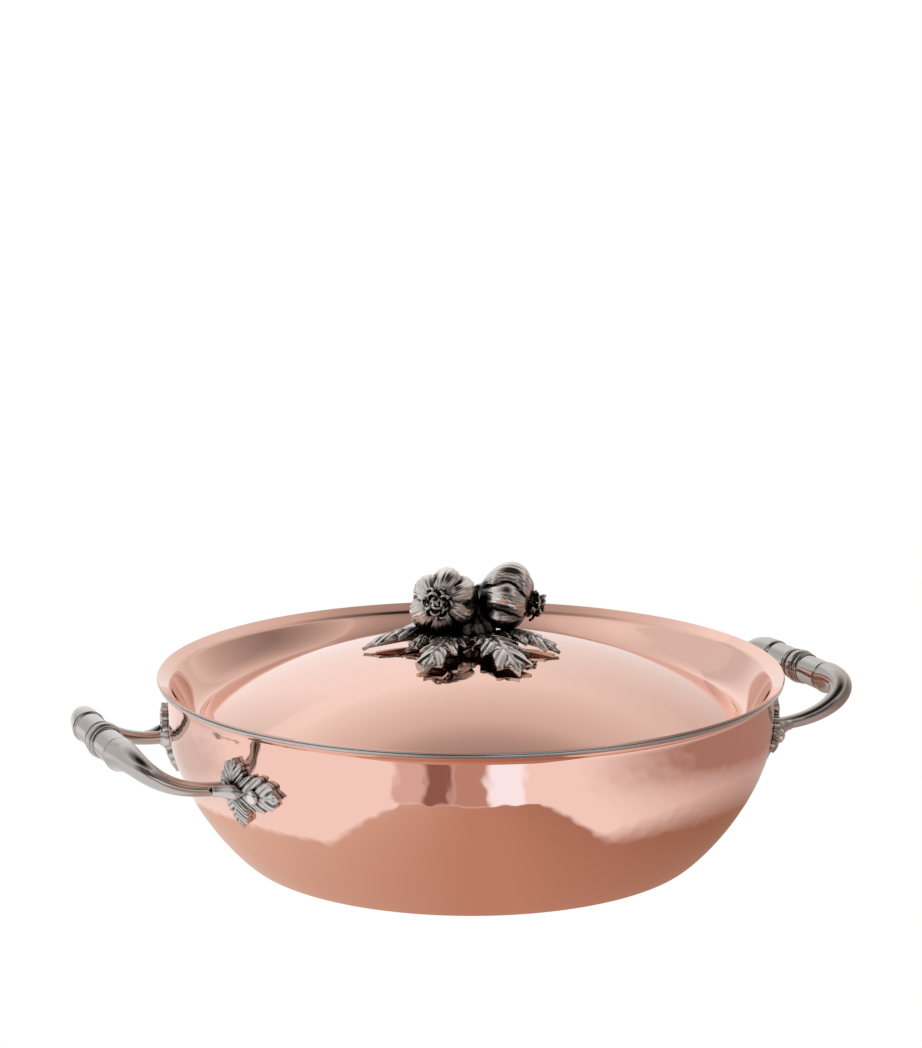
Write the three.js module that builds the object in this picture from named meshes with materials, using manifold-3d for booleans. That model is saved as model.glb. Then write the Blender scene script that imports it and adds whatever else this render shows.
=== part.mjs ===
// Chef pot: a rounded copper body with a bright lining, a domed lid nested in its flared lip, two cast bow
// handles riveted on through leaf brackets, and a cast finial of two garlic heads on a spray of leaves.
// Millimetres, +Z up, origin at the centre of the base, handles along X, -Y towards the front.
import * as THREE from 'three';
import { mergeVertices } from 'three/addons/utils/BufferGeometryUtils.js';
import Module from 'manifold-3d';

const wasm = await Module();
wasm.setup();

// Pot body and its lining
const BASE_RADIUS = 110.1;
const BASE_EDGE_FILLET = 3;
const BASE_FLARE_ANGLE = 36;
const BASE_FLARE_REACH = 11.7;
const WALL_RADIUS = 145.3;
const WALL_HEIGHT = 66;
const WALL_UPRIGHT_REACH = 29;
const LIP_START_HEIGHT = 79.7;
const LIP_BEND = 2.6;
const LIP_OVERHANG = 3.9;
const LIP_EDGE_SLOPE = 32;
const POT_COPPER = 1;
const POT_LINING = 0.25;
const RIM_BEAD = 0.9;

// Lid and its lining
const LID_COPPER = 0.7;
const LID_LINING = 0.2;
const LID_EDGE_INSET = 0.6;
const LID_WALL_SLOPE = 62;
const CHANNEL_DEPTH = 21.2;
const CHANNEL_FILLET = 2.2;
const STEP_HEIGHT = 4.6;
const STEP_SLOPE = 50;
const DOME_RADIUS = 124.9;
const DOME_HEIGHT = 31.6;

// Bow handles
const GRIP_REACH = 181.9;
const GRIP_HEIGHT = 70.6;
const GRIP_LENGTH = 52;
const GRIP_RADIUS = 7.3;
const HORN_RADIUS = 7.9;
const FOOT_RADIUS = 3.1;
const FOOT_SPREAD = 47;
const FOOT_HEIGHT = 56;
const FOOT_STANDOFF = 3;
const LEG_REACH = 34;
const LEG_DIP = 0.7;
const HORN_REACH = 30;
const HORN_CROWN = 5.3;
const BEAD_RADIUS = 8.8;
const BEAD_HALF_WIDTH = 2.4;
const COLLAR_RADIUS = 8;
const COLLAR_WIDTH = 1.2;
const COVE_WIDTH = 2.4;
const RING_CHAMFER = 0.3;

// Leaf brackets and rivets
const RIVET_ANGLE = 26.2;
const RIVET_HEIGHT = 56.5;
const RIVET_SHANK_RADIUS = 2.2;
const RIVET_HEAD_RADIUS = 3.4;
const RIVET_HEAD_HEIGHT = 2.2;
const RIVET_TAIL_RADIUS = 4.2;
const RIVET_TAIL_HEIGHT = 2.6;
const BRACKET_REACH = 14.5;
const BRACKET_THICKNESS = 3.2;
const BRACKET_SWELL = 0.8;
const BRACKET_TOOTH = 1.25;
const BOSS_LENGTH = 8;
const BOSS_WIDTH = 5.5;
const BOSS_HEIGHT = 8;
const STALK_RADIUS = 2.1;
const STALK_ROOT_ALONG = 10;
const STALK_ROOT_STANDOFF = 3;
const STALK_END_ALONG = 0.8;
const STALK_END_STANDOFF = 11;
const STALK_RISE = 2.1;
const STALK_BORE_RADIUS = 1.1;
const STALK_BORE_DEPTH = 3;

// Finial
const HUB_RADIUS = 12;
const HUB_RIM_HEIGHT = 3;
const HUB_HEIGHT = 11;
const HUB_TOP_RADIUS = 7;
const SCREW_RADIUS = 2.5;
const SCREW_GRIP = 6;
const SCREW_HEAD_RADIUS = 5;
const SCREW_HEAD_HEIGHT = 3;
const WASHER_RADIUS = 8;
const WASHER_THICKNESS = 1;
const BULB_RADIUS = 16.5;
const BULB_LENGTH = 25;
const CLOVES = 8;
const CLOVE_DEPTH = 0.12;
const TUFT_RADIUS = 8.2;
const TUFT_HEIGHT = 8;
const TUFT_CURLS = 9;
const FINIAL_LEAF_REACH = 58;
const FINIAL_LEAF_HALF_WIDTH = 12;
const FINIAL_LEAF_THICKNESS = 1.8;
const FINIAL_LEAF_ARCH = 4;

// Clearances between separate pieces
const BOND_GAP = 0.1;
const SEAT_GAP = 0.3;

// Smoothness of round shapes
const TURN_SEGMENTS = 32;
const BAR_SIDES = 10;
const PIN_SIDES = 8;
const SLIVER_SIZE = 0.02;

const COPPER = { color: 0xd9906f, roughness: 0.14, metalness: 1 };
const LINING = { color: 0xc9c9c6, roughness: 0.3, metalness: 1 };
const BRIGHT_SILVER = { color: 0xd6d2ca, roughness: 0.1, metalness: 1 };
const ANTIQUE_SILVER = { color: 0x8f8b84, roughness: 0.38, metalness: 1 };

const group = new THREE.Group();
const radians = THREE.MathUtils.degToRad;
const point = (x, y) => new THREE.Vector2(x, y);
const heading = (degrees) => point(Math.cos(radians(degrees)), Math.sin(radians(degrees)));

// Adds one named piece to the assembly.
function addPiece(name, geometry, finish) {
  const piece = new THREE.Mesh(geometry, new THREE.MeshStandardMaterial(finish));
  piece.name = name;
  group.add(piece);
  return piece;
}

// Turns a closed geometry into a solid that can be cut and joined.
function solidOf(geometry) {
  const bare = geometry.clone();
  bare.deleteAttribute('normal');
  bare.deleteAttribute('uv');
  const merged = mergeVertices(bare, 1e-4);
  const vertProperties = new Float32Array(merged.attributes.position.array);
  const triVerts = new Uint32Array(merged.index.array);
  return new wasm.Manifold(new wasm.Mesh({ numProp: 3, vertProperties, triVerts }));
}

// Turns a cut or joined solid back into a geometry, without slivers along the cuts.
function geometryOf(solid) {
  const mesh = solid.simplify(SLIVER_SIZE).getMesh();
  const geometry = new THREE.BufferGeometry();
  geometry.setAttribute('position', new THREE.BufferAttribute(new Float32Array(mesh.vertProperties), 3));
  geometry.setIndex(new THREE.BufferAttribute(new Uint32Array(mesh.triVerts), 1));
  geometry.computeVertexNormals();
  return geometry;
}

function cut(geometry, tools) {
  const solid = tools.reduce((left, tool) => left.subtract(solidOf(tool)), solidOf(geometry));
  return geometryOf(solid);
}

// Collects triangles of 3D points into one closed geometry with its faces pointing out.
function geometryFromTriangles(triangles) {
  const volume = triangles.reduce((sum, [a, b, c]) => sum + a.dot(new THREE.Vector3().crossVectors(b, c)), 0);
  const order = volume > 0 ? [0, 1, 2] : [0, 2, 1];
  const coordinates = triangles.flatMap((triangle) => order.flatMap((index) => triangle[index].toArray()));
  const geometry = new THREE.BufferGeometry();
  geometry.setAttribute('position', new THREE.Float32BufferAttribute(coordinates, 3));
  const merged = mergeVertices(geometry, 1e-4);
  merged.computeVertexNormals();
  return merged;
}

// Two triangles over four points, leaving out a triangle whose edge has shrunk to nothing.
function quad(a, b, c, d) {
  const whole = ([p, q, r]) => p.distanceTo(q) > 1e-3 && q.distanceTo(r) > 1e-3 && r.distanceTo(p) > 1e-3;
  return [[a, b, c], [a, c, d]].filter(whole);
}

// Skins a row of rings that have as many points each, and closes both ends with fans.
function loft(rings) {
  const triangles = [];
  const count = rings[0].length;
  for (let k = 0; k + 1 < rings.length; k += 1) {
    for (let i = 0; i < count; i += 1) {
      const next = (i + 1) % count;
      triangles.push(...quad(rings[k][i], rings[k][next], rings[k + 1][next], rings[k + 1][i]));
    }
  }
  const middle = (ring) => ring.reduce((sum, p) => sum.add(p), new THREE.Vector3()).divideScalar(count);
  const first = middle(rings[0]);
  const last = middle(rings[rings.length - 1]);
  for (let i = 0; i < count; i += 1) {
    const next = (i + 1) % count;
    triangles.push([first, rings[0][next], rings[0][i]]);
    triangles.push([last, rings[rings.length - 1][i], rings[rings.length - 1][next]]);
  }
  return geometryFromTriangles(triangles);
}

// Revolves a profile of (radius, height) points about Z.
function revolve(profile, segments = TURN_SEGMENTS) {
  return new THREE.LatheGeometry(profile, segments).rotateX(Math.PI / 2);
}

function arcPoints(centre, radius, fromDegrees, toDegrees, steps) {
  const angle = (k) => THREE.MathUtils.lerp(fromDegrees, toDegrees, k / steps);
  return Array.from({ length: steps + 1 }, (_, k) => heading(angle(k)).multiplyScalar(radius).add(centre));
}

// Replaces the corner of a profile by a curve that starts and ends at the given distance from it.
function roundCorner(before, corner, after, reach, steps) {
  const start = before.clone().sub(corner).setLength(reach).add(corner);
  const end = after.clone().sub(corner).setLength(reach).add(corner);
  return new THREE.QuadraticBezierCurve(start, corner, end).getPoints(steps);
}

// Shifts a profile that starts on the axis sideways, to the left of its direction.
function offsetCurve(curve, distance) {
  return curve.map((here, k) => {
    const back = k === 0 ? point(-curve[1].x, curve[1].y) : curve[k - 1];
    const ahead = k + 1 === curve.length ? here.clone().multiplyScalar(2).sub(back) : curve[k + 1];
    const arriving = here.clone().sub(back).normalize();
    const leaving = ahead.clone().sub(here).normalize();
    const normal = arriving.clone().add(leaving).normalize().rotateAround(point(0, 0), Math.PI / 2);
    const stretch = 1 / Math.max(normal.dot(point(-arriving.y, arriving.x)), 0.5);
    return normal.multiplyScalar(distance * stretch).add(here);
  });
}

// A sheet of metal that follows a profile between two distances from it.
function sheetProfile(curve, low, high, edge = []) {
  return [...offsetCurve(curve, low), ...edge, ...offsetCurve(curve, high).reverse()];
}

// Outer surface of the pot from the centre of its base to the edge of its lip.
const lipCentre = point(WALL_RADIUS + LIP_BEND, LIP_START_HEIGHT);
const baseCentre = point(0, 0);
const baseCorner = point(BASE_RADIUS, 0);
const wallFoot = heading(BASE_FLARE_ANGLE).multiplyScalar(BASE_EDGE_FILLET).add(baseCorner);
const wallTop = point(WALL_RADIUS, WALL_HEIGHT);
const wallCurve = new THREE.CubicBezierCurve(
  wallFoot,
  heading(BASE_FLARE_ANGLE).multiplyScalar(BASE_FLARE_REACH).add(baseCorner),
  point(WALL_RADIUS, WALL_HEIGHT - WALL_UPRIGHT_REACH),
  wallTop,
);
const lipBend = arcPoints(lipCentre, LIP_BEND, 180, 90 + LIP_EDGE_SLOPE, 2);
const lipRise = Math.tan(radians(LIP_EDGE_SLOPE));
const flareTo = (start, radius) => point(radius, start.y + (radius - start.x) * lipRise);
const lipEdge = flareTo(lipBend[lipBend.length - 1], WALL_RADIUS + LIP_OVERHANG);
const potCurve = [
  baseCentre,
  ...roundCorner(baseCentre, baseCorner, wallFoot, BASE_EDGE_FILLET, 2),
  ...wallCurve.getSpacedPoints(5).slice(1),
  ...lipBend,
  lipEdge,
];

// Top surface of the lid from its crown to its edge. Its flange follows the pot's lip.
const potSheet = POT_COPPER + BOND_GAP + POT_LINING;
const lidSheet = LID_COPPER + BOND_GAP + LID_LINING;
const flangeRadius = LIP_BEND + potSheet + SEAT_GAP + lidSheet;
const flange = arcPoints(lipCentre, flangeRadius, 90 + LID_WALL_SLOPE, 90 + LIP_EDGE_SLOPE, 2);
const lidEdge = flareTo(flange[flange.length - 1], lipEdge.x + RIM_BEAD - LID_EDGE_INSET);
const channelHeight = lidEdge.y - CHANNEL_DEPTH;
const wallDrop = flange[0].y - channelHeight;
const channelOuter = point(flange[0].x - wallDrop / Math.tan(radians(LID_WALL_SLOPE)), channelHeight);
const domeEdge = point(DOME_RADIUS, channelHeight + STEP_HEIGHT);
const channelInner = point(DOME_RADIUS + STEP_HEIGHT / Math.tan(radians(STEP_SLOPE)), channelHeight);
const domeSphere = (DOME_RADIUS ** 2 + DOME_HEIGHT ** 2) / (2 * DOME_HEIGHT);
const domeCentre = point(0, domeEdge.y + DOME_HEIGHT - domeSphere);
const domeSpread = THREE.MathUtils.radToDeg(Math.asin(DOME_RADIUS / domeSphere));
const dome = arcPoints(domeCentre, domeSphere, 90, 90 - domeSpread, 4).slice(0, -1);
const lidCurve = [
  ...dome,
  domeEdge,
  channelInner,
  ...roundCorner(channelInner, channelOuter, flange[0], CHANNEL_FILLET, 1),
  ...flange,
  lidEdge,
];
const crownHeight = dome[0].y;
const domeHeightAt = (radius) => domeCentre.y + Math.sqrt(domeSphere ** 2 - radius ** 2);

// Radius of the pot's outer wall at a height, and how far the wall leans outwards there, in radians.
function wallAt(height) {
  if (height >= WALL_HEIGHT) {
    return { radius: WALL_RADIUS, lean: 0 };
  }
  let low = 0;
  let high = 1;
  for (let step = 0; step < 24; step += 1) {
    const half = (low + high) / 2;
    [low, high] = wallCurve.getPoint(half).y < height ? [half, high] : [low, half];
  }
  const tangent = wallCurve.getTangent(low);
  return { radius: wallCurve.getPoint(low).x, lean: Math.atan2(tangent.x, tangent.y) };
}

// Frame on the wall at an angle round the pot: X along the wall, Y up it and Z straight out of it.
function wallFrame(degrees, height) {
  const { radius, lean } = wallAt(height);
  const around = new THREE.Vector3(-Math.sin(radians(degrees)), Math.cos(radians(degrees)), 0);
  const away = new THREE.Vector3(Math.cos(radians(degrees)), Math.sin(radians(degrees)), 0);
  const out = away.clone().multiplyScalar(Math.cos(lean)).setZ(-Math.sin(lean));
  const up = new THREE.Vector3().crossVectors(out, around);
  return new THREE.Matrix4().makeBasis(around, up, out).setPosition(away.multiplyScalar(radius).setZ(height));
}

// A leaf is a fan of pointed lobes round its heart. Each lobe has a midrib and two saw-toothed edges, which
// run from the notch before the lobe to its tip and on to the notch after it. The relief dies out at the tip.
function lobeFlank(heart, notch, lobe, turn, toothDepth) {
  const along = lobe.tip.clone().sub(heart);
  const side = along.clone().normalize().rotateAround(point(0, 0), turn * Math.PI / 2);
  const bulge = heart.clone().addScaledVector(along, lobe.widest).addScaledVector(side, lobe.halfWidth);
  const edge = new THREE.QuadraticBezierCurve(notch, bulge, lobe.tip);
  const steps = 2 * lobe.teeth + 1;
  return Array.from({ length: steps + 1 }, (_, k) => {
    const share = k / steps;
    const depth = k % 2 === 1 && k < steps ? toothDepth * (1 - 0.5 * share) : 0;
    const rim = edge.getPoint(share).addScaledVector(side, depth);
    rim.addScaledVector(along.clone().normalize(), 0.7 * depth);
    const rib = heart.clone().addScaledVector(along, k === steps ? 1 : share * 0.85);
    return { rim, rib, relief: k === steps ? 0 : 1 };
  });
}

// Closed blade of a leaf. place(u, v, w) puts a point of the flat leaf at height w into space.
function leafBlade({ heart, lobes, notches, tooth, back, front, place }) {
  const triangles = [];
  const spot = (p, w) => place(p.x, p.y, w);
  lobes.forEach((lobe, index) => {
    const before = lobeFlank(heart, notches[index], lobe, -1, tooth);
    const after = lobeFlank(heart, notches[(index + 1) % lobes.length], lobe, 1, tooth).reverse();
    [before, after].forEach((flank) => {
      for (let k = 0; k + 1 < flank.length; k += 1) {
        const rows = [flank[k], flank[k + 1]].map(({ rim, rib, relief }) => ({
          edge: spot(rim, front.edge),
          crown: spot(rim.clone().lerp(rib, 0.5), THREE.MathUtils.lerp(front.edge, front.crown, relief)),
          rib: spot(rib, THREE.MathUtils.lerp(front.edge, front.rib, relief)),
          backEdge: spot(rim, back),
          backRib: spot(rib, back),
        }));
        const [a, b] = rows;
        triangles.push(...quad(a.edge, b.edge, b.crown, a.crown));
        triangles.push(...quad(a.crown, b.crown, b.rib, a.rib));
        triangles.push(...quad(a.backRib, b.backRib, b.backEdge, a.backEdge));
        triangles.push(...quad(a.backEdge, b.backEdge, b.edge, a.edge));
      }
    });
  });
  return geometryFromTriangles(triangles);
}

// Half of the bow's centre line, from the foot to the middle of the grip, with the radius along it.
const footAngle = THREE.MathUtils.radToDeg(Math.asin(FOOT_SPREAD / wallAt(FOOT_HEIGHT).radius));
const footStart = wallAt(FOOT_HEIGHT).radius * Math.cos(radians(footAngle)) + FOOT_STANDOFF;
const hornEnd = GRIP_LENGTH / 2;
const bowCurve = new THREE.CubicBezierCurve3(
  new THREE.Vector3(footStart, FOOT_SPREAD, FOOT_HEIGHT),
  new THREE.Vector3(footStart + LEG_REACH, FOOT_SPREAD, FOOT_HEIGHT - LEG_DIP),
  new THREE.Vector3(GRIP_REACH, hornEnd + HORN_REACH, GRIP_HEIGHT + HORN_CROWN),
  new THREE.Vector3(GRIP_REACH, hornEnd, GRIP_HEIGHT),
);

// Rings of one bow handle. A growth makes the same bar fatter, for cutting its seat.
function bowRings(growth) {
  const bowPlane = new THREE.Vector3(footStart - GRIP_REACH, 0, GRIP_REACH - footStart).normalize();
  const ring = (centre, tangent, radius) => {
    const first = bowPlane.clone().addScaledVector(tangent, -bowPlane.dot(tangent)).normalize();
    const second = new THREE.Vector3().crossVectors(tangent, first);
    const spoke = (k) => 2 * Math.PI * k / BAR_SIDES;
    return Array.from({ length: BAR_SIDES }, (_, k) => centre.clone()
      .addScaledVector(first, (radius + growth) * Math.cos(spoke(k)))
      .addScaledVector(second, (radius + growth) * Math.sin(spoke(k))));
  };
  const legSteps = 7;
  const leg = Array.from({ length: legSteps + 1 }, (_, k) => {
    const share = k / legSteps;
    const radius = THREE.MathUtils.lerp(FOOT_RADIUS, HORN_RADIUS, share ** 2);
    return ring(bowCurve.getPointAt(share), bowCurve.getTangentAt(share), radius);
  });
  const collar = BEAD_HALF_WIDTH + COVE_WIDTH;
  const turnings = [
    [hornEnd - RING_CHAMFER, GRIP_RADIUS],
    [collar + COLLAR_WIDTH + RING_CHAMFER, GRIP_RADIUS],
    [collar + COLLAR_WIDTH, COLLAR_RADIUS],
    [collar, COLLAR_RADIUS],
    [collar - RING_CHAMFER, GRIP_RADIUS],
    [BEAD_HALF_WIDTH + RING_CHAMFER, GRIP_RADIUS],
    [BEAD_HALF_WIDTH, COLLAR_RADIUS],
    [BEAD_HALF_WIDTH / 2, BEAD_RADIUS],
  ];
  const acrossGrip = new THREE.Vector3(0, -1, 0);
  const grip = turnings.map(([offset, radius]) => (
    ring(new THREE.Vector3(GRIP_REACH, offset, GRIP_HEIGHT), acrossGrip, radius)
  ));
  const half = [...leg, ...grip];
  const mirrored = half.map((points) => points.map((p) => new THREE.Vector3(p.x, -p.y, p.z)));
  return [...half, ...mirrored.reverse()];
}

// Bracket leaf, laid out flat with its rivet at (0, 0), its main lobe along +u and its stalk along -u.
// Its lobes and notches are shares of its reach.
const bossSetback = radians(RIVET_ANGLE - footAngle) * WALL_RADIUS;
const bracketSpot = (along, up) => point(along, up).multiplyScalar(BRACKET_REACH);
const bracketLeaf = {
  heart: point(-bossSetback * 0.73, 0),
  lobes: [
    { tip: bracketSpot(1, 0.055), halfWidth: BRACKET_REACH * 0.77, widest: 0.61, teeth: 3 },
    { tip: bracketSpot(-0.89, 1.02), halfWidth: BRACKET_REACH * 0.5, widest: 0.65, teeth: 2 },
    { tip: bracketSpot(-0.96, -1.24), halfWidth: BRACKET_REACH * 0.48, widest: 0.54, teeth: 2 },
  ],
  notches: [
    bracketSpot(-0.64, -0.3),
    bracketSpot(-0.58, 0.345),
    point(-bossSetback - BOSS_LENGTH / 2, 0),
  ],
  tooth: BRACKET_TOOTH,
};
const bracketFront = {
  edge: BRACKET_THICKNESS - BRACKET_SWELL,
  crown: BRACKET_THICKNESS + BRACKET_SWELL,
  rib: BRACKET_THICKNESS,
};

// Everything inside the pot's outer surface and the seat gap round it, for shaping what seats on the wall.
function wallKeepOut() {
  const skin = offsetCurve(potCurve, -SEAT_GAP);
  return revolve([...skin, point(0, skin[skin.length - 1].y)]);
}

const rivetTurn = new THREE.Matrix4().makeRotationX(Math.PI / 2);

// A round bar along the Z axis of a frame, from one height to another.
function pinAt(frame, radius, from, to) {
  const pin = new THREE.CylinderGeometry(radius, radius, to - from, PIN_SIDES).applyMatrix4(rivetTurn);
  return pin.translate(0, 0, (from + to) / 2).applyMatrix4(frame);
}

// Rivet in its frame on the wall: a domed head on the leaf, a shank through leaf and wall, and a flat tail
// that is shaped by the lining it is set against.
function rivet(frame) {
  const seat = BRACKET_THICKNESS + BRACKET_SWELL + SEAT_GAP;
  const tailEnd = -potSheet - SEAT_GAP - RIVET_TAIL_HEIGHT;
  const shank = revolve([
    point(0, tailEnd + RIVET_TAIL_HEIGHT / 4),
    point(RIVET_SHANK_RADIUS, tailEnd + RIVET_TAIL_HEIGHT / 4),
    point(RIVET_SHANK_RADIUS, seat),
    point(RIVET_HEAD_RADIUS, seat),
    point(RIVET_HEAD_RADIUS * 0.8, seat + RIVET_HEAD_HEIGHT * 0.65),
    point(0, seat + RIVET_HEAD_HEIGHT),
  ], PIN_SIDES).applyMatrix4(frame);
  const tail = pinAt(frame, RIVET_TAIL_RADIUS, tailEnd, -potSheet - SEAT_GAP / 2);
  const wall = revolve(sheetProfile(potCurve, -SEAT_GAP, potSheet + SEAT_GAP));
  return geometryOf(solidOf(cut(tail, [wall])).add(solidOf(shank)));
}

// Leaf bracket of one handle foot on the +X side. Side is 1 for the foot at +Y and -1 for the one at -Y.
function bracket(side, rivetFrame, barSeat) {
  const blade = leafBlade({
    ...bracketLeaf,
    back: -BRACKET_THICKNESS / 2,
    front: bracketFront,
    place: (u, v, w) => {
      const turn = side * (RIVET_ANGLE + THREE.MathUtils.radToDeg(u / WALL_RADIUS));
      return new THREE.Vector3(0, 0, w).applyMatrix4(wallFrame(turn, RIVET_HEIGHT + v));
    },
  });
  const footFrame = wallFrame(side * footAngle, FOOT_HEIGHT);
  const boss = new THREE.SphereGeometry(1, 8, 6).scale(BOSS_LENGTH, BOSS_WIDTH, BOSS_HEIGHT);
  boss.applyMatrix4(footFrame);
  const stalkRoot = new THREE.Vector3(side * STALK_ROOT_ALONG, STALK_RISE / 2, STALK_ROOT_STANDOFF);
  const stalkEnd = new THREE.Vector3(side * STALK_END_ALONG, STALK_RISE, STALK_END_STANDOFF);
  const stalkLength = stalkEnd.distanceTo(stalkRoot);
  const lay = new THREE.Quaternion().setFromUnitVectors(new THREE.Vector3(0, 0, 1), stalkEnd.clone().sub(stalkRoot).normalize());
  const stalkFrame = new THREE.Matrix4().makeRotationFromQuaternion(lay).setPosition(stalkRoot).premultiply(footFrame);
  const stalk = pinAt(stalkFrame, STALK_RADIUS, 0, stalkLength);
  const bore = pinAt(stalkFrame, STALK_BORE_RADIUS, stalkLength - STALK_BORE_DEPTH, stalkLength + STALK_BORE_DEPTH);
  const hole = pinAt(rivetFrame, RIVET_SHANK_RADIUS + SEAT_GAP, -BRACKET_THICKNESS, 3 * BRACKET_THICKNESS);
  const joined = solidOf(blade).add(solidOf(boss)).add(solidOf(stalk));
  return [bore, hole, barSeat, wallKeepOut()].reduce((left, tool) => left.subtract(solidOf(tool)), joined);
}

// Body, lining, handles, brackets and rivets
const rivetHoles = [];
[['right', 0], ['left', Math.PI]].forEach(([handleName, turn]) => {
  const half = new THREE.Group();
  half.rotation.z = turn;
  group.add(half);
  const bar = addPiece(`${handleName}_handle_bar`, loft(bowRings(0)), BRIGHT_SILVER);
  half.add(bar);
  const barSeat = loft(bowRings(SEAT_GAP));
  [-1, 1].forEach((side) => {
    const place = (side === -1) === (turn === 0) ? 'front' : 'rear';
    const rivetFrame = wallFrame(side * RIVET_ANGLE, RIVET_HEIGHT);
    const leaf = geometryOf(bracket(side, rivetFrame, barSeat));
    half.add(addPiece(`${handleName}_${place}_leaf`, leaf, ANTIQUE_SILVER));
    half.add(addPiece(`${handleName}_${place}_rivet`, rivet(rivetFrame), BRIGHT_SILVER));
    const hole = pinAt(rivetFrame, RIVET_SHANK_RADIUS + SEAT_GAP, -3 * potSheet, BRACKET_THICKNESS);
    rivetHoles.push(hole.rotateZ(turn));
  });
});

const edgeOut = heading(LIP_EDGE_SLOPE);
const edgeUp = heading(LIP_EDGE_SLOPE + 90);
const rimSpot = (out, up) => lipEdge.clone().addScaledVector(edgeOut, out).addScaledVector(edgeUp, up);
const rimBead = [
  rimSpot(BOND_GAP, POT_COPPER + BOND_GAP),
  rimSpot(BOND_GAP, 0),
  rimSpot(BOND_GAP + RIM_BEAD * 0.6, 0),
  rimSpot(BOND_GAP + RIM_BEAD, potSheet / 2),
  rimSpot(BOND_GAP + RIM_BEAD * 0.6, potSheet),
];
const shellProfile = sheetProfile(potCurve, 0, POT_COPPER);
const liningProfile = sheetProfile(potCurve, POT_COPPER + BOND_GAP, potSheet, rimBead);
addPiece('pot_shell', cut(revolve(shellProfile), rivetHoles), COPPER);
addPiece('pot_lining', cut(revolve(liningProfile), rivetHoles), LINING);

// Lid, lid lining and the screw that holds the finial
const upright = new THREE.Matrix4();
const screwHole = pinAt(upright, SCREW_RADIUS + SEAT_GAP, crownHeight - 3 * lidSheet, crownHeight + lidSheet);
addPiece('lid_shell', cut(revolve(sheetProfile(lidCurve, -LID_COPPER, 0)), [screwHole]), COPPER);
const lidLiningProfile = sheetProfile(lidCurve, -lidSheet, -LID_COPPER - BOND_GAP);
addPiece('lid_lining', cut(revolve(lidLiningProfile), [screwHole]), LINING);

const crownFall = WASHER_RADIUS * (dome[0].y - dome[1].y) / dome[1].x;
const washerTop = crownHeight - lidSheet - crownFall - SEAT_GAP;
const washerBottom = washerTop - WASHER_THICKNESS;
const washerBore = SCREW_RADIUS + SEAT_GAP;
addPiece('finial_washer', revolve([
  point(washerBore, washerBottom),
  point(WASHER_RADIUS, washerBottom),
  point(WASHER_RADIUS, washerTop),
  point(washerBore, washerTop),
  point(washerBore, washerBottom),
], 2 * PIN_SIDES), BRIGHT_SILVER);

const hubBottom = crownHeight + SEAT_GAP;
const screwTop = hubBottom + SCREW_GRIP;
const headTop = washerBottom - SEAT_GAP;
addPiece('finial_screw', revolve([
  point(0, headTop - SCREW_HEAD_HEIGHT),
  point(SCREW_HEAD_RADIUS * 0.6, headTop - SCREW_HEAD_HEIGHT),
  point(SCREW_HEAD_RADIUS, headTop - SCREW_HEAD_HEIGHT * 0.4),
  point(SCREW_HEAD_RADIUS, headTop),
  point(SCREW_RADIUS, headTop),
  point(SCREW_RADIUS, screwTop),
  point(0, screwTop),
], PIN_SIDES), BRIGHT_SILVER);

// Garlic head along Z with its roots at +Z: cloves swell between grooves that fade at both ends.
function garlicHead(growth) {
  const stations = [
    [-0.66, 0.12, 0],
    [-0.54, 0.2, 0.3],
    [-0.44, 0.52, 0.8],
    [-0.25, 0.85, 1],
    [0, 1, 1],
    [0.25, 0.94, 1],
    [0.42, 0.7, 0.8],
    [0.5, 0.42, 0.3],
  ];
  const sides = 3 * CLOVES;
  return loft(stations.map(([along, share, groove]) => Array.from({ length: sides }, (_, k) => {
    const turn = 2 * Math.PI * k / sides;
    const dent = 1 - CLOVE_DEPTH * groove * (k % 3 === 0 ? 1 : 0);
    const radius = BULB_RADIUS * share * dent + growth;
    const height = along * BULB_LENGTH + Math.sign(along) * growth;
    return new THREE.Vector3(radius * Math.cos(turn), radius * Math.sin(turn), height);
  })));
}

// Curled root tuft along Z, resting on the root end of a garlic head.
function rootTuft() {
  const stations = [[0, 0.62], [0.3, 1], [0.7, 0.9], [1, 0.45]];
  const sides = 2 * TUFT_CURLS;
  const foot = BULB_LENGTH / 2 + SEAT_GAP;
  return loft(stations.map(([along, share]) => Array.from({ length: sides }, (_, k) => {
    const turn = 2 * Math.PI * k / sides;
    const radius = TUFT_RADIUS * share * (k % 2 === 0 ? 1 : 0.8);
    return new THREE.Vector3(radius * Math.cos(turn), radius * Math.sin(turn), foot + along * TUFT_HEIGHT);
  })));
}

// The two heads lie side by side along X, one with its roots to the front and one with them to the right.
// Their places over the crown of the lid are in bulb radii.
const heads = [
  { name: 'left', spot: new THREE.Vector3(-0.85, 0.03, 1.13), roots: new THREE.Vector3(-0.55, -0.81, 0.19) },
  { name: 'right', spot: new THREE.Vector3(1.03, -0.12, 1.24), roots: new THREE.Vector3(0.82, -0.5, -0.25) },
];
const crown = new THREE.Vector3(0, 0, crownHeight);
const headSeats = heads.map(({ name, spot, roots }) => {
  const turn = new THREE.Quaternion().setFromUnitVectors(new THREE.Vector3(0, 0, 1), roots.normalize());
  const centre = crown.clone().addScaledVector(spot, BULB_RADIUS);
  const place = new THREE.Matrix4().makeRotationFromQuaternion(turn).setPosition(centre);
  addPiece(`${name}_garlic_head`, garlicHead(0).applyMatrix4(place), ANTIQUE_SILVER);
  addPiece(`${name}_root_tuft`, rootTuft().applyMatrix4(place), ANTIQUE_SILVER);
  return garlicHead(SEAT_GAP).applyMatrix4(place);
});

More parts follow.
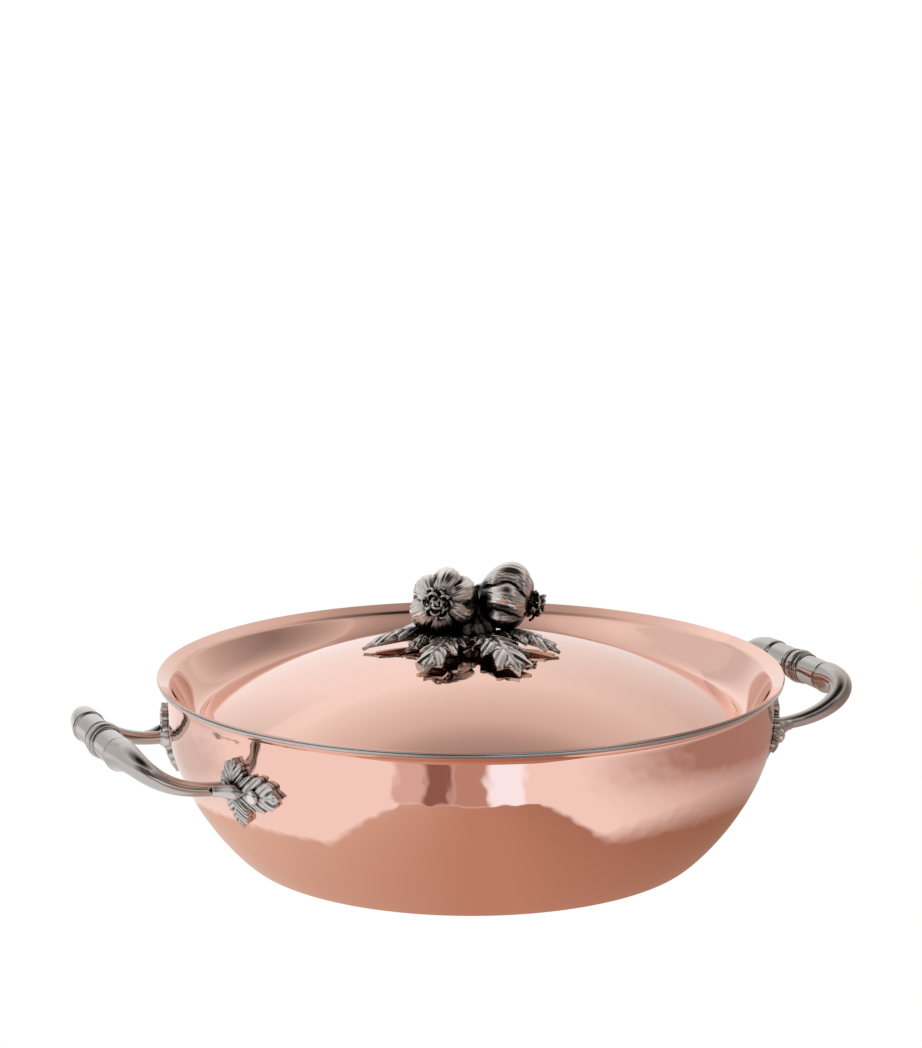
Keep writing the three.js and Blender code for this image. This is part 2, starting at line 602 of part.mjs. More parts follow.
const hub = revolve([
  point(0, hubBottom),
  point(HUB_RADIUS, hubBottom),
  point(HUB_RADIUS, hubBottom + HUB_RIM_HEIGHT),
  point(HUB_TOP_RADIUS, hubBottom + HUB_HEIGHT),
  point(0, hubBottom + HUB_HEIGHT),
], 2 * PIN_SIDES);
const hubBore = pinAt(upright, SCREW_RADIUS + SEAT_GAP, hubBottom - lidSheet, screwTop + SEAT_GAP);
addPiece('finial_hub', cut(hub, [hubBore, ...headSeats]), ANTIQUE_SILVER);

// Spray of finial leaves: each arches out of the hub and droops until its tip nearly touches the dome.
function finialLeaf({ angle, reach, halfWidth }) {
  const stalk = HUB_RADIUS + SEAT_GAP;
  const length = reach * FINIAL_LEAF_REACH - stalk;
  const swell = halfWidth * FINIAL_LEAF_HALF_WIDTH;
  const stalkHalfWidth = HUB_RIM_HEIGHT * 0.8;
  const startHeight = hubBottom + HUB_RIM_HEIGHT / 2;
  const tipRadius = stalk + length;
  const tipHeight = domeHeightAt(tipRadius) + SEAT_GAP + FINIAL_LEAF_THICKNESS / 2;
  const arch = new THREE.QuadraticBezierCurve(
    point(stalk, startHeight),
    point(stalk + length * 0.45, startHeight + FINIAL_LEAF_ARCH),
    point(tipRadius, tipHeight),
  );
  const spin = new THREE.Matrix4().makeRotationZ(radians(angle));
  const heart = point(length * 0.1, 0);
  return leafBlade({
    heart,
    lobes: [
      { tip: point(length, 0), halfWidth: swell * 1.5, widest: 0.45, teeth: 4 },
      { tip: point(0, 0), halfWidth: stalkHalfWidth, widest: 0.5, teeth: 0 },
    ],
    notches: [point(heart.x, -stalkHalfWidth), point(heart.x, stalkHalfWidth)],
    tooth: swell * 0.25,
    back: -FINIAL_LEAF_THICKNESS / 2,
    front: {
      edge: FINIAL_LEAF_THICKNESS / 3,
      crown: FINIAL_LEAF_THICKNESS * 0.7,
      rib: FINIAL_LEAF_THICKNESS / 2,
    },
    place: (u, v, w) => {
      const share = THREE.MathUtils.clamp(u / length, 0, 1);
      const spine = arch.getPoint(share);
      const rise = arch.getTangent(share).rotateAround(point(0, 0), Math.PI / 2).multiplyScalar(w);
      return new THREE.Vector3(spine.x + rise.x, v, spine.y + rise.y).applyMatrix4(spin);
    },
  });
}

// Reach and half width are shares of the front leaf's.
const finialLeaves = [
  { name: 'left', angle: 165, reach: 0.9, halfWidth: 0.58 },
  { name: 'small', angle: 193, reach: 0.66, halfWidth: 0.31 },
  { name: 'front_left', angle: 224, reach: 0.98, halfWidth: 0.71 },
  { name: 'front', angle: 270, reach: 1, halfWidth: 1 },
  { name: 'front_right', angle: 313, reach: 0.79, halfWidth: 0.75 },
  { name: 'rear_right', angle: 60, reach: 0.69, halfWidth: 0.83 },
  { name: 'rear_left', angle: 122, reach: 0.69, halfWidth: 0.83 },
];
finialLeaves.forEach((leaf) => {
  addPiece(`finial_leaf_${leaf.name}`, cut(finialLeaf(leaf), headSeats), ANTIQUE_SILVER);
});

export default group;
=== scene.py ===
# %% [markdown]
# # A copper chef pot
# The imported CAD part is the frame: it gives every piece its place and its size.
# This lesson builds the finished look of each piece over that frame, one short step at a time.

# %% Load the CAD frame
import math
import random
import bpy
import numpy as np
from mathutils import Matrix, Vector
from mathutils.bvhtree import BVHTree


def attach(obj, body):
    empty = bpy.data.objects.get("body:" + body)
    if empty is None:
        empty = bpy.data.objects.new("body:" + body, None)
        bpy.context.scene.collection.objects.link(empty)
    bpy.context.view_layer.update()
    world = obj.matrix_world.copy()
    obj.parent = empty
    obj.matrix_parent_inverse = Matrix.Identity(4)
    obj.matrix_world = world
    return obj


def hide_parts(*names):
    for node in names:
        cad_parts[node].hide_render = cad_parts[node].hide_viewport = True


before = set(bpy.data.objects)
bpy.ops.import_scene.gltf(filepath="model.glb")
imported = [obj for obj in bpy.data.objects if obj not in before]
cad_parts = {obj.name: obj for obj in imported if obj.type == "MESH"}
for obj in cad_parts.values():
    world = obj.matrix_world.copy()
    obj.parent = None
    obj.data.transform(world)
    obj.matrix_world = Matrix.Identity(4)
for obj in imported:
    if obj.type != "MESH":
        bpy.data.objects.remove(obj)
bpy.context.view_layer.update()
print("CAD nodes:", len(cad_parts))

# %% [markdown]
# ## Small helpers
# Sizes below are in millimetres, because they are the real ones. Blender works in metres, so `MM` converts.
# `alone` makes one object the only selected one, because an operator acts on everything that is selected.
# `outwards` closes seams by merging the points that meet, and turns the faces the right way round.

# %% Helpers for selecting and finishing
MM = 0.001
FULL_TURN = 2 * math.pi


def alone(obj):
    bpy.ops.object.select_all(action="DESELECT")
    obj.select_set(True)
    bpy.context.view_layer.objects.active = obj
    return obj


def named(name):
    obj = bpy.context.object
    obj.name = obj.data.name = name
    return obj


def outwards(obj, weld=0.0):
    """Merges the points closer than the weld and turns all faces outwards."""
    alone(obj)
    bpy.ops.object.mode_set(mode="EDIT")
    bpy.ops.mesh.select_all(action="SELECT")
    if weld:
        bpy.ops.mesh.remove_doubles(threshold=weld * MM)
    bpy.ops.mesh.normals_make_consistent(inside=False)
    bpy.ops.object.mode_set(mode="OBJECT")
    return obj


def finished(obj, body, slot, material, *nodes, angle=40):
    """Smooths a piece, paints it and lets it ride on its CAD body in place of the CAD nodes."""
    alone(obj)
    bpy.ops.object.shade_smooth_by_angle(angle=math.radians(angle))
    obj.data.materials.clear()
    obj.data.materials.append(material)
    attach(obj, body)
    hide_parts(*nodes)
    print(f"{obj.name}: {len(obj.data.polygons)} faces")
    return obj


# %% [markdown]
# ## Turned pieces
# The pot, the lid, the rivets, the washer and the screw are round. A cylinder could be pulled into shape ring by ring,
# but a drawn profile keeps every radius exact. A turned piece starts as one vertex. Extruding it from point to point
# draws half of the cross section, and Spin sweeps that line once round the Z axis.

# %% Turn a profile into a piece
TURNED_WELD = 0.002


def chain(name, profile):
    corners = [Vector((radius * MM, 0, height * MM)) for radius, height in profile]
    bpy.ops.object.select_all(action="DESELECT")
    bpy.ops.mesh.primitive_plane_add(size=MM)
    obj = named(name)
    bpy.ops.object.mode_set(mode="EDIT")
    bpy.ops.mesh.select_all(action="SELECT")
    bpy.ops.mesh.merge(type="CENTER")
    bpy.ops.transform.translate(value=corners[0])
    for here, there in zip(corners, corners[1:]):
        bpy.ops.mesh.extrude_vertices_move(TRANSFORM_OT_translate={"value": there - here})
    bpy.ops.object.mode_set(mode="OBJECT")
    return obj


def turned(name, profile, steps):
    obj = alone(chain(name, profile))
    bpy.ops.object.mode_set(mode="EDIT")
    bpy.ops.mesh.select_all(action="SELECT")
    bpy.ops.mesh.spin(steps=steps, angle=FULL_TURN, center=(0, 0, 0), axis=(0, 0, 1))
    bpy.ops.object.mode_set(mode="OBJECT")
    return outwards(obj, TURNED_WELD)


# %% [markdown]
# ## Cast pieces
# The handles, the leaves and the finial are castings. They could be sculpted, but no brush repeats a size exactly.
# Here a grid is the clay: each of its points is known by a share across and a share along, from 0 to 1,
# and one formula says where that point goes.

# %% Shape a grid by a formula
CAST_WELD = 0.02


def points(*axes):
    return np.stack(np.broadcast_arrays(*axes), axis=-1)


def smoothstep(low, high, value):
    share = np.clip((value - low) / (high - low), 0, 1)
    return share * share * (3 - 2 * share)


def moved(obj, formula):
    """Puts each point of a mesh where a formula on its three coordinates says, in millimetres."""
    flat = np.empty(len(obj.data.vertices) * 3)
    obj.data.vertices.foreach_get("co", flat)
    obj.data.vertices.foreach_set("co", np.ravel(formula(*flat.reshape(-1, 3).T)) * MM)
    obj.data.update()
    return obj


def shaped(name, across, along, place):
    bpy.ops.object.select_all(action="DESELECT")
    bpy.ops.mesh.primitive_grid_add(x_subdivisions=across, y_subdivisions=along, size=2)
    return moved(named(name), lambda x, y, z: place((x + 1) / 2, (y + 1) / 2))


def bent(obj, place):
    """Moves a finished shape on, by a formula on its own coordinates in millimetres."""
    return outwards(moved(obj, lambda x, y, z: place(x / MM, y / MM, z / MM)))


def welded(objects, name):
    """Joins pieces into one and merges the points that meet."""
    alone(objects[0])
    for obj in objects:
        obj.select_set(True)
    bpy.ops.object.join()
    return outwards(named(name), CAST_WELD)


# %% [markdown]
# ## Finishes
# A small class wraps a shader socket, so that the maths between nodes reads like ordinary sums.
# Every node comes from its one method, which takes the node's type, its settings and what goes into its sockets.

# %% Shader sockets that add and multiply
class Socket:
    def __init__(self, tree, socket=None):
        self.tree = tree
        self.socket = socket

    def node(self, kind, settings=(), inputs=(), output=0):
        made = self.tree.nodes.new(kind)
        for key, value in dict(settings).items():
            setattr(made, key, value)
        for key, value in dict(inputs).items():
            if isinstance(value, Socket):
                self.tree.links.new(value.socket, made.inputs[key])
            else:
                made.inputs[key].default_value = value
        return Socket(self.tree, made.outputs[output])

    def maths(self, operation, *values):
        return self.node("ShaderNodeMath", {"operation": operation}, enumerate(values))

    def __add__(self, other):
        return self.maths("ADD", self, other)

    __radd__ = __add__

    def __sub__(self, other):
        return self.maths("SUBTRACT", self, other)

    def __rsub__(self, other):
        return self.maths("SUBTRACT", other, self)

    def __mul__(self, other):
        return self.maths("MULTIPLY", self, other)

    __rmul__ = __mul__

    def __truediv__(self, other):
        return self.maths("DIVIDE", self, other)

    def __pow__(self, other):
        return self.maths("POWER", self, other)

    def __abs__(self):
        return self.maths("ABSOLUTE", self)

    def between(self, low, high):
        """0 up to low, 1 from high on, and a straight rise between them."""
        return self.node("ShaderNodeMapRange", {"clamp": True}, {0: self, 1: low, 2: high})


def blend(share, under, over):
    """Mixes two colours, each given as three numbers or as a socket."""
    under, over = (tone if isinstance(tone, Socket) else (*tone, 1) for tone in (under, over))
    return share.node("ShaderNodeMix", {"data_type": "RGBA"}, {0: share, 6: under, 7: over}, output=2)


# %% [markdown]
# Bare metal has no colour of its own but tints what it mirrors. The Principled shader does this when it is fully
# metallic: the base colour is the tint, and the roughness says how far the mirror image is blurred.

# %% Plain metals
def metal(name, colour, roughness):
    material = bpy.data.materials.new(name)
    material.use_nodes = True
    shader = material.node_tree.nodes["Principled BSDF"]
    shader.inputs["Base Color"].default_value = (*colour, 1)
    shader.inputs["Metallic"].default_value = 1
    shader.inputs["Roughness"].default_value = roughness
    return material


copper = metal("polished copper", (0.91, 0.60, 0.51), roughness=0.05)
lining_metal = metal("bright lining", (0.70, 0.70, 0.69), roughness=0.2)
silver = metal("polished silver", (0.59, 0.57, 0.545), roughness=0.06)
satin_silver = metal("satin silver", (0.80, 0.78, 0.75), roughness=0.22)
print("plain metals:", [material.name for material in (copper, lining_metal, silver, satin_silver)])

# %% [markdown]
# The leaves and the finial are silver that was darkened and polished again, so the hollows stay black.
# That black is tarnish together with painted shade, since it follows how much of the sky each point sees.
# An image could be painted for this, but the shape itself knows where a cloth and the light can't reach.
# An attribute keeps the share of the sky that each point sees, and the material reads it.
# An attribute keeps the share of the sky that each point sees, and the material reads it.

# %% Antique silver
OPEN_SKY = "open_sky"
# The black of the hollows: tarnish together with painted shade.
TARNISH_AND_SHADE = (0.014, 0.012, 0.011)


def antique(name, low, light, rough, polish):
    """Silver that is black, as tarnish with painted shade, where less than the low share of the sky is open, and light
    where all of it is.
    """
    material = metal(name, light, rough)
    tree = material.node_tree
    shader = tree.nodes["Principled BSDF"]
    seen = Socket(tree).node("ShaderNodeAttribute", {"attribute_name": OPEN_SKY}, output="Fac")
    shine = seen.between(low, 1.0)
    # The colour runs from tarnish with painted shade in the hollows to the light silver where the sky is open.
    tree.links.new(blend(shine, TARNISH_AND_SHADE, light).socket, shader.inputs["Base Color"])
    tree.links.new((rough - polish * shine).socket, shader.inputs["Roughness"])
    return material


# The antique silver gets tarnish with painted shade in its hollows.
antique_silver = antique("antique silver", 0.63, (0.74, 0.72, 0.69), rough=0.36, polish=0.23)
# The hub's silver is a darker copy, as painted shade under the heads.
hub_shade_silver = antique("silver darkened as painted shade", 0.5, (0.26, 0.25, 0.24), rough=0.4, polish=0.12)
# The brackets' silver is worn, with tarnish and painted shade in its hollows.
worn_and_shaded_silver = antique("worn silver with painted shade", 0.42, (0.62, 0.605, 0.585), rough=0.36, polish=0.1)
# The polished bars get painted shade in their grooves.
bar_silver = antique("polished silver with painted shade in its grooves", 0.4, (0.53, 0.51, 0.49), rough=0.2, polish=0.14)
print("antique silvers:", [material.name for material in (antique_silver, hub_shade_silver, worn_and_shaded_silver, bar_silver)])

# %% [markdown]
# Rays from each point count how much of the sky stays open. A ray that is stopped within the reach is hidden,
# and a ray along the normal counts more than a slanting one.

# %% Rays that find the hollows
SKY_RAYS = 40
RAY_START = 0.05
FLATTEST_RAY = 0.05
NO_SKY = 1e-6


def sky_directions(count):
    """Directions spread evenly over a sphere."""
    k = np.arange(count) + 0.5
    height = 1 - 2 * k / count
    turn = math.pi * (1 + math.sqrt(5)) * k
    ring = np.sqrt(1 - height ** 2)
    return [Vector(direction) for direction in points(ring * np.cos(turn), ring * np.sin(turn), height)]


SKY = sky_directions(SKY_RAYS)


# The share kept here is turned into painted shade, with tarnish, by the silvers that read it.
def shade_hollows(pieces, reach):
    """Keeps, at each point of the pieces, the share of the sky that none of them hides."""
    corners, faces = [], []
    for obj in pieces:
        first = len(corners)
        corners += [vertex.co for vertex in obj.data.vertices]
        faces += [[first + index for index in face.vertices] for face in obj.data.polygons]
    tree = BVHTree.FromPolygons(corners, faces)
    for obj in pieces:
        shares = []
        for vertex in obj.data.vertices:
            start = vertex.co + vertex.normal * (RAY_START * MM)
            free = total = 0
            for direction in SKY:
                weight = direction.dot(vertex.normal)
                if weight > FLATTEST_RAY:
                    total += weight
                    if tree.ray_cast(start, direction, reach * MM)[0] is None:
                        free += weight
            shares.append(free / max(total, NO_SKY))
        obj.data.attributes.new(OPEN_SKY, "FLOAT", "POINT").data.foreach_set("value", shares)


# %% [markdown]
# ## Lines
# Profiles are drawn from a few kinds of line: an arc, a Bezier curve, a rounded corner, and a line beside another,
# which gives a sheet its second face. Blender's curve objects have them too, but plain lists are easier to join.

# %% Arcs, curves and rounded corners
def arc(centre, radius, start, end, steps):
    angles = np.radians(np.linspace(start, end, steps + 1))
    return np.array(centre) + radius * points(np.cos(angles), np.sin(angles))


def bezier(corners, steps):
    t = np.linspace(0, 1, steps + 1)[:, None]
    weights = [(1 - t) ** 3, 3 * (1 - t) ** 2 * t, 3 * (1 - t) * t ** 2, t ** 3]
    return sum(weight * np.array(corner) for weight, corner in zip(weights, corners))


def rounded(before, corner, after, reach, steps):
    before, corner, after = (np.array(p, float) for p in (before, corner, after))
    start = corner + reach * (before - corner) / np.linalg.norm(before - corner)
    end = corner + reach * (after - corner) / np.linalg.norm(after - corner)
    return bezier([start, corner, corner, end], steps)


def beside(profile, distance):
    """The same line, moved sideways to the left of its direction. Its first point stays on the axis."""
    ahead = np.gradient(profile, axis=0)
    ahead /= np.linalg.norm(ahead, axis=1)[:, None]
    shifted = profile + distance * points(-ahead[:, 1], ahead[:, 0])
    shifted[0, 0] = 0
    return shifted


# %% [markdown]
# ## The pot
# The pot is raised from one sheet of copper. Its profile runs along the flat base, round the wall and out to the
# flared lip. A fine profile is the outside, which gets the hammer marks. A plain one is enough for the inside.

# %% Profile of the pot
BASE_RADIUS, BASE_BEND, BASE_INSET = 110.1, 1.2, 2
WALL_RADIUS, WALL_HEIGHT = 145.3, 66
LIP_START, LIP_BEND, LIP_EDGE, LIP_SLOPE = 79.7, 2.6, 149.2, math.radians(32)
WALL_CORNERS = [(BASE_RADIUS, 0), (119.6, 6.9), (WALL_RADIUS, 37), (WALL_RADIUS, WALL_HEIGHT)]
lip_centre = (WALL_RADIUS + LIP_BEND, LIP_START)
lip_turn = 90 + math.degrees(LIP_SLOPE)


def flared(bend, edge_radius):
    """A bend that runs on straight at the slope of the lip, out to the radius of its edge."""
    edge = (edge_radius, bend[-1][1] + (edge_radius - bend[-1][0]) * math.tan(LIP_SLOPE))
    return np.vstack([bend, [edge]])


def pot_profile(wall_steps, top_steps):
    wall = bezier(WALL_CORNERS, wall_steps)
    base = np.linspace((BASE_RADIUS / 2, 0), (BASE_RADIUS - BASE_INSET, 0), 4)
    corner = rounded((0, 0), wall[0], wall[3], BASE_BEND, 4)
    upright = np.linspace(wall[-1], (WALL_RADIUS, LIP_START), top_steps + 1)[1:-1]
    lip = flared(arc(lip_centre, LIP_BEND, 180, lip_turn, 5), LIP_EDGE)
    return np.vstack([(0, 0), base, corner, wall[2:], upright, lip])


outer = pot_profile(wall_steps=62, top_steps=10)
plain = pot_profile(wall_steps=12, top_steps=2)
print("pot profile:", len(outer), "points outside,", len(plain), "inside")

# %% [markdown]
# The wall is hammered by hand. A bump in the material would look alike from the front, but the outline would stay
# smooth. A Displace modifier with a cell texture presses a shallow dish into every cell,
# and a vertex group keeps the base and the lip smooth.

# %% Hammered shell
POT_SHEET, SHELL_STEPS = 1.0, 620
HAMMER_CELL, HAMMER_DEPTH, HAMMER_LEVEL = 5, 0.13, 0.4
MARKS_FADE_IN, MARKS_FADE_OUT = (2, 12), (75, 79)
OUTSIDE_BAND = 0.3
pot_shell = turned("pot_shell_copper", np.vstack([outer, beside(plain, POT_SHEET)[::-1]]), SHELL_STEPS)
hammered = pot_shell.vertex_groups.new(name="hammered")
for vertex in pot_shell.data.vertices:
    radius, height = math.hypot(vertex.co.x, vertex.co.y) / MM, vertex.co.z / MM
    weight = float(smoothstep(*MARKS_FADE_IN, height) * (1 - smoothstep(*MARKS_FADE_OUT, height)))
    if weight > 0 and radius > np.interp(height, outer[:, 1], outer[:, 0]) - OUTSIDE_BAND:
        hammered.add([vertex.index], weight, "REPLACE")
marks = bpy.data.textures.new("hammer marks", "VORONOI")
marks.distance_metric = "DISTANCE_SQUARED"
marks.noise_scale = HAMMER_CELL * MM
dishes = pot_shell.modifiers.new("hammer marks", "DISPLACE")
dishes.texture, dishes.texture_coords, dishes.vertex_group = marks, "LOCAL", "hammered"
dishes.strength, dishes.mid_level = HAMMER_DEPTH * MM, HAMMER_LEVEL
alone(pot_shell)
bpy.ops.object.modifier_apply(modifier=dishes.name)
finished(pot_shell, "pot", "copper", copper, "pot_shell", angle=30)

# %% [markdown]
# The bright lining covers the inside and wraps over the edge of the copper, which is the silver line round the rim.
# It is turned too: up the inside, round a small bead at the edge of the lip, and back down.

# %% Lining with its bead
LINING_SHEET, SEAM, LINING_STEPS = 0.25, 0.1, 256
BEAD = [(0.1, 0.4), (0.5, 0.35), (0.8, 0.5), (0.9, 0.9), (0.85, 1.25), (0.6, 1.55), (0.1, 1.6)]
edge_out = np.array([math.cos(LIP_SLOPE), math.sin(LIP_SLOPE)])
edge_up = np.array([-edge_out[1], edge_out[0]])
lining_line = np.vstack([
    beside(plain, POT_SHEET + SEAM),
    [outer[-1] + out * edge_out + up * edge_up for out, up in BEAD],
    beside(plain, POT_SHEET + SEAM + LINING_SHEET)[::-1],
])
pot_lining = turned("pot_lining_bright", lining_line, LINING_STEPS)
finished(pot_lining, "pot", "lining", lining_metal, "pot_lining")

# %% [markdown]
# ## The lid
# The lid is spun from a thinner sheet and left smooth. Its flange follows the lip, a steep wall drops to a narrow
# channel, and a step leads up to the low dome, which is part of a sphere.
# The wall runs into the channel in a curve, because a polished cone would mirror with straight edges.

# %% Profile of the lid
LID_SHEET, LID_LINING, LID_PLAY, LID_OVERHANG = 0.7, 0.2, 0.5, 0.3
LID_WALL_SLOPE, STEP_SLOPE = 62, 50
CHANNEL_DEPTH, CHANNEL_RUN, CHANNEL_BEND = 21.2, 0.9, 1.1
DOME_RADIUS, DOME_RISE, STEP_RISE, STEP_BEND = 124.9, 31.6, 4.6, 1.3
WALL_SHARE = 0.45
flange_radius = LIP_BEND + POT_SHEET + LINING_SHEET + LID_SHEET + LID_LINING + LID_PLAY
flange = flared(arc(lip_centre, flange_radius, 90 + LID_WALL_SLOPE, lip_turn, 8), LIP_EDGE + LID_OVERHANG)
channel = flange[-1][1] - CHANNEL_DEPTH
channel_out = (flange[0][0] - (flange[0][1] - channel) / math.tan(math.radians(LID_WALL_SLOPE)), channel)
channel_in = (DOME_RADIUS + STEP_RISE / math.tan(math.radians(STEP_SLOPE)), channel)
wall_middle = (1 - WALL_SHARE) * np.array(channel_out) + WALL_SHARE * np.array(flange[0])
dome_edge = (DOME_RADIUS, channel + STEP_RISE)
sphere = (DOME_RADIUS ** 2 + DOME_RISE ** 2) / (2 * DOME_RISE)
crown = channel + STEP_RISE + DOME_RISE
spread = math.degrees(math.asin(DOME_RADIUS / sphere))
dome = arc((0, crown - sphere), sphere, 90, 90 - spread, 40)[:-1]
lid_top = np.vstack([
    dome,
    rounded(dome[-1], dome_edge, channel_in, STEP_BEND, 5),
    rounded(dome_edge, channel_in, channel_out, CHANNEL_BEND, 5),
    bezier([(channel_in[0] + CHANNEL_RUN, channel), channel_out, wall_middle, flange[0]], 20)[:-1],
    flange,
])
print("crown of the dome at", round(crown, 1), "mm")

# %% [markdown]
# The copper is the profile and the same line beside it, joined into one loop and turned. Its bright lining is made
# in the same way, a hair below the copper. A Solidify modifier would do too, but would leave the middle open.

# %% Lid and its lining
LID_SMOOTH, LID_STEPS, LID_LINING_STEPS = 50, 256, 160
lid_line = np.vstack([lid_top, beside(lid_top, -LID_SHEET)[::-1]])
lid_shell = turned("lid_shell_copper", lid_line, LID_STEPS)
finished(lid_shell, "lid", "copper", copper, "lid_shell", angle=LID_SMOOTH)
lid_under = np.vstack([beside(lid_top, -LID_SHEET - SEAM), beside(lid_top, -LID_SHEET - SEAM - LID_LINING)[::-1]])
lid_lining = turned("lid_lining_bright", lid_under, LID_LINING_STEPS)
finished(lid_lining, "lid", "lining", lining_metal, "lid_lining", angle=LID_SMOOTH)

# %% [markdown]
# ## Bow handles
# Each bar is one casting: a thin foot, a horn that swells along a curve, and a straight grip with turned rings.
# A curve with a bevel could give the horn, but not the rings. So the line of the bar and its radius are worked out
# first, half a bar at a time, and the other half is its mirror image.

# %% Line and radius of a bar
GRIP_REACH, GRIP_HEIGHT, GRIP_RADIUS = 181.9, 70.6, 7.2
FOOT_SPREAD, FOOT_HEIGHT, FOOT_RADIUS = 47, 56, 3.1
FOOT_WALL, FOOT_STAND = 144.6, 3
HORN_END, HORN_RADIUS, HORN_RUN, HORN_RISE = 26, 7.8, 30, 5.3
LEG_RUN, LEG_SAG = 34, 0.7
foot_x = math.sqrt(FOOT_WALL ** 2 - FOOT_SPREAD ** 2) + FOOT_STAND
LEG_CORNERS = [(foot_x, FOOT_SPREAD, FOOT_HEIGHT), (foot_x + LEG_RUN, FOOT_SPREAD, FOOT_HEIGHT - LEG_SAG),
               (GRIP_REACH, HORN_END + HORN_RUN, GRIP_HEIGHT + HORN_RISE), (GRIP_REACH, HORN_END, GRIP_HEIGHT)]
BEAD_RISE, BEAD_HALF = 1.4, 2.5
COLLAR_RISE, COLLAR_AT, COLLAR_HALF = 0.8, 5, 0.9
# Each soft ring or groove has a rise, a distance from the middle of the grip, and a width.
SOFT_RINGS = [(-1.1, 3.3, 0.55), (-0.8, 6.6, 0.6), (0.35, HORN_END - 1, 0.5), (-0.6, HORN_END - 2.4, 0.5)]
# Stations along half a grip: the first, the last and how many. They are close together where the rings are.
GRIP_STATIONS = [(HORN_END - 0.15, 22, 20), (21, 9, 8), (8.4, 0, 56)]


def ring_profile(y):
    """Radius of the turned grip at a distance from its middle."""
    bead = BEAD_RISE * math.sqrt(max(0, 1 - (y / BEAD_HALF) ** 2))
    collar = COLLAR_RISE * math.sqrt(max(0, 1 - ((y - COLLAR_AT) / COLLAR_HALF) ** 2))
    soft = sum(rise * math.exp(-((y - at) / width) ** 2) for rise, at, width in SOFT_RINGS)
    return GRIP_RADIUS + bead + collar + soft


leg = bezier(LEG_CORNERS, 48)
run = np.concatenate([[0], np.cumsum(np.linalg.norm(np.diff(leg, axis=0), axis=1))])
leg_radius = FOOT_RADIUS + (HORN_RADIUS - FOOT_RADIUS) * (run / run[-1]) ** 2
grip_y = np.concatenate([np.linspace(*stations) for stations in GRIP_STATIONS])
half_line = np.vstack([leg, points(GRIP_REACH, grip_y, GRIP_HEIGHT)])
half_radius = np.concatenate([leg_radius, [ring_profile(y) for y in grip_y]])
bar_line = np.vstack([half_line, (half_line * (1, -1, 1))[::-1][1:]])
bar_radius = np.concatenate([half_radius, half_radius[::-1][1:]])
print("bar:", len(bar_line), "stations, thickest radius", round(max(bar_radius), 1), "mm")

# %% [markdown]
# `tube` walks along a line and lays a circle of the right radius at each station. The left bar is the right one
# turned half round the pot. Its grooves get painted shade, and a short reach finds them.

# %% Bars of both handles
ALONG_Z, ALONG_Y = np.array([0.0, 0.0, 1.0]), np.array([0.0, 1.0, 0.0])
BAR_SIDES = 28


def tube(line, radius, side, ahead=None):
    """Formula for a tube along a line: the first share goes round it and the second along it.

    Its rings face the way the line runs, or all of them ahead where that is given.
    """
    tangent = np.gradient(line, axis=0) if ahead is None else np.tile(ahead, (len(line), 1))
    tangent /= np.linalg.norm(tangent, axis=1)[:, None]
    first = side - tangent * (tangent @ side)[:, None]
    first /= np.linalg.norm(first, axis=1)[:, None]
    second = np.cross(tangent, first)

    def place(around, along):
        k = np.rint(along * (len(line) - 1)).astype(int)
        turn = FULL_TURN * around[:, None]
        return line[k] + radius[k][:, None] * (first[k] * np.cos(turn) + second[k] * np.sin(turn))

    return place


for handle, flip in [("right", 1), ("left", -1)]:
    around_bar = tube(bar_line * (flip, flip, 1), bar_radius, ALONG_Z)
    bar = welded([shaped(f"{handle}_bow", BAR_SIDES, len(bar_line) - 1, around_bar)], f"{handle}_bow")
    # Painted shade goes into the grooves of the bar.
    shade_hollows([bar], reach=4)
    finished(bar, "pot", "bright_silver", bar_silver, f"{handle}_handle_bar", angle=60)

# %% [markdown]
# ## Leaves
# A leaf is a fan of lobes. Each half lobe is a grid between its midrib and its toothed edge.
# A flat outline could be extruded, but it would have no veins. In the grid, grooves between the teeth and along
# the midrib give the relief.

# %% A toothed half lobe
LOBE_ACROSS, STEPS_PER_TOOTH, LEAST_STEPS = 16, 18, 16
TOOTH_TAPER, TOOTH_LEAN = 0.45, 0.9
VEIN_SLANT, VEIN_WIDTH, LINE_WIDTH, LINE_DEPTH, RIB_WIDTH = 0.6, 0.3, 0.2, 0.55, 0.07
VEINS_FROM_HEART, VEINS_TO_TIP, VEINS_FROM_RIB = (0, 0.1), (0.86, 0.98), (0.05, 0.25)
TIP_DROP, TIP_ZONE = 0.6, (0.6, 1)


def round_tooth(share):
    return np.sqrt(np.clip(1 - (2 * share ** 1.5 - 1) ** 2, 0, 1))


def pointed_tooth(share, peak=0.74):
    return np.minimum((share / peak) ** 1.3, ((1 - share) / (1 - peak)) ** 0.8)


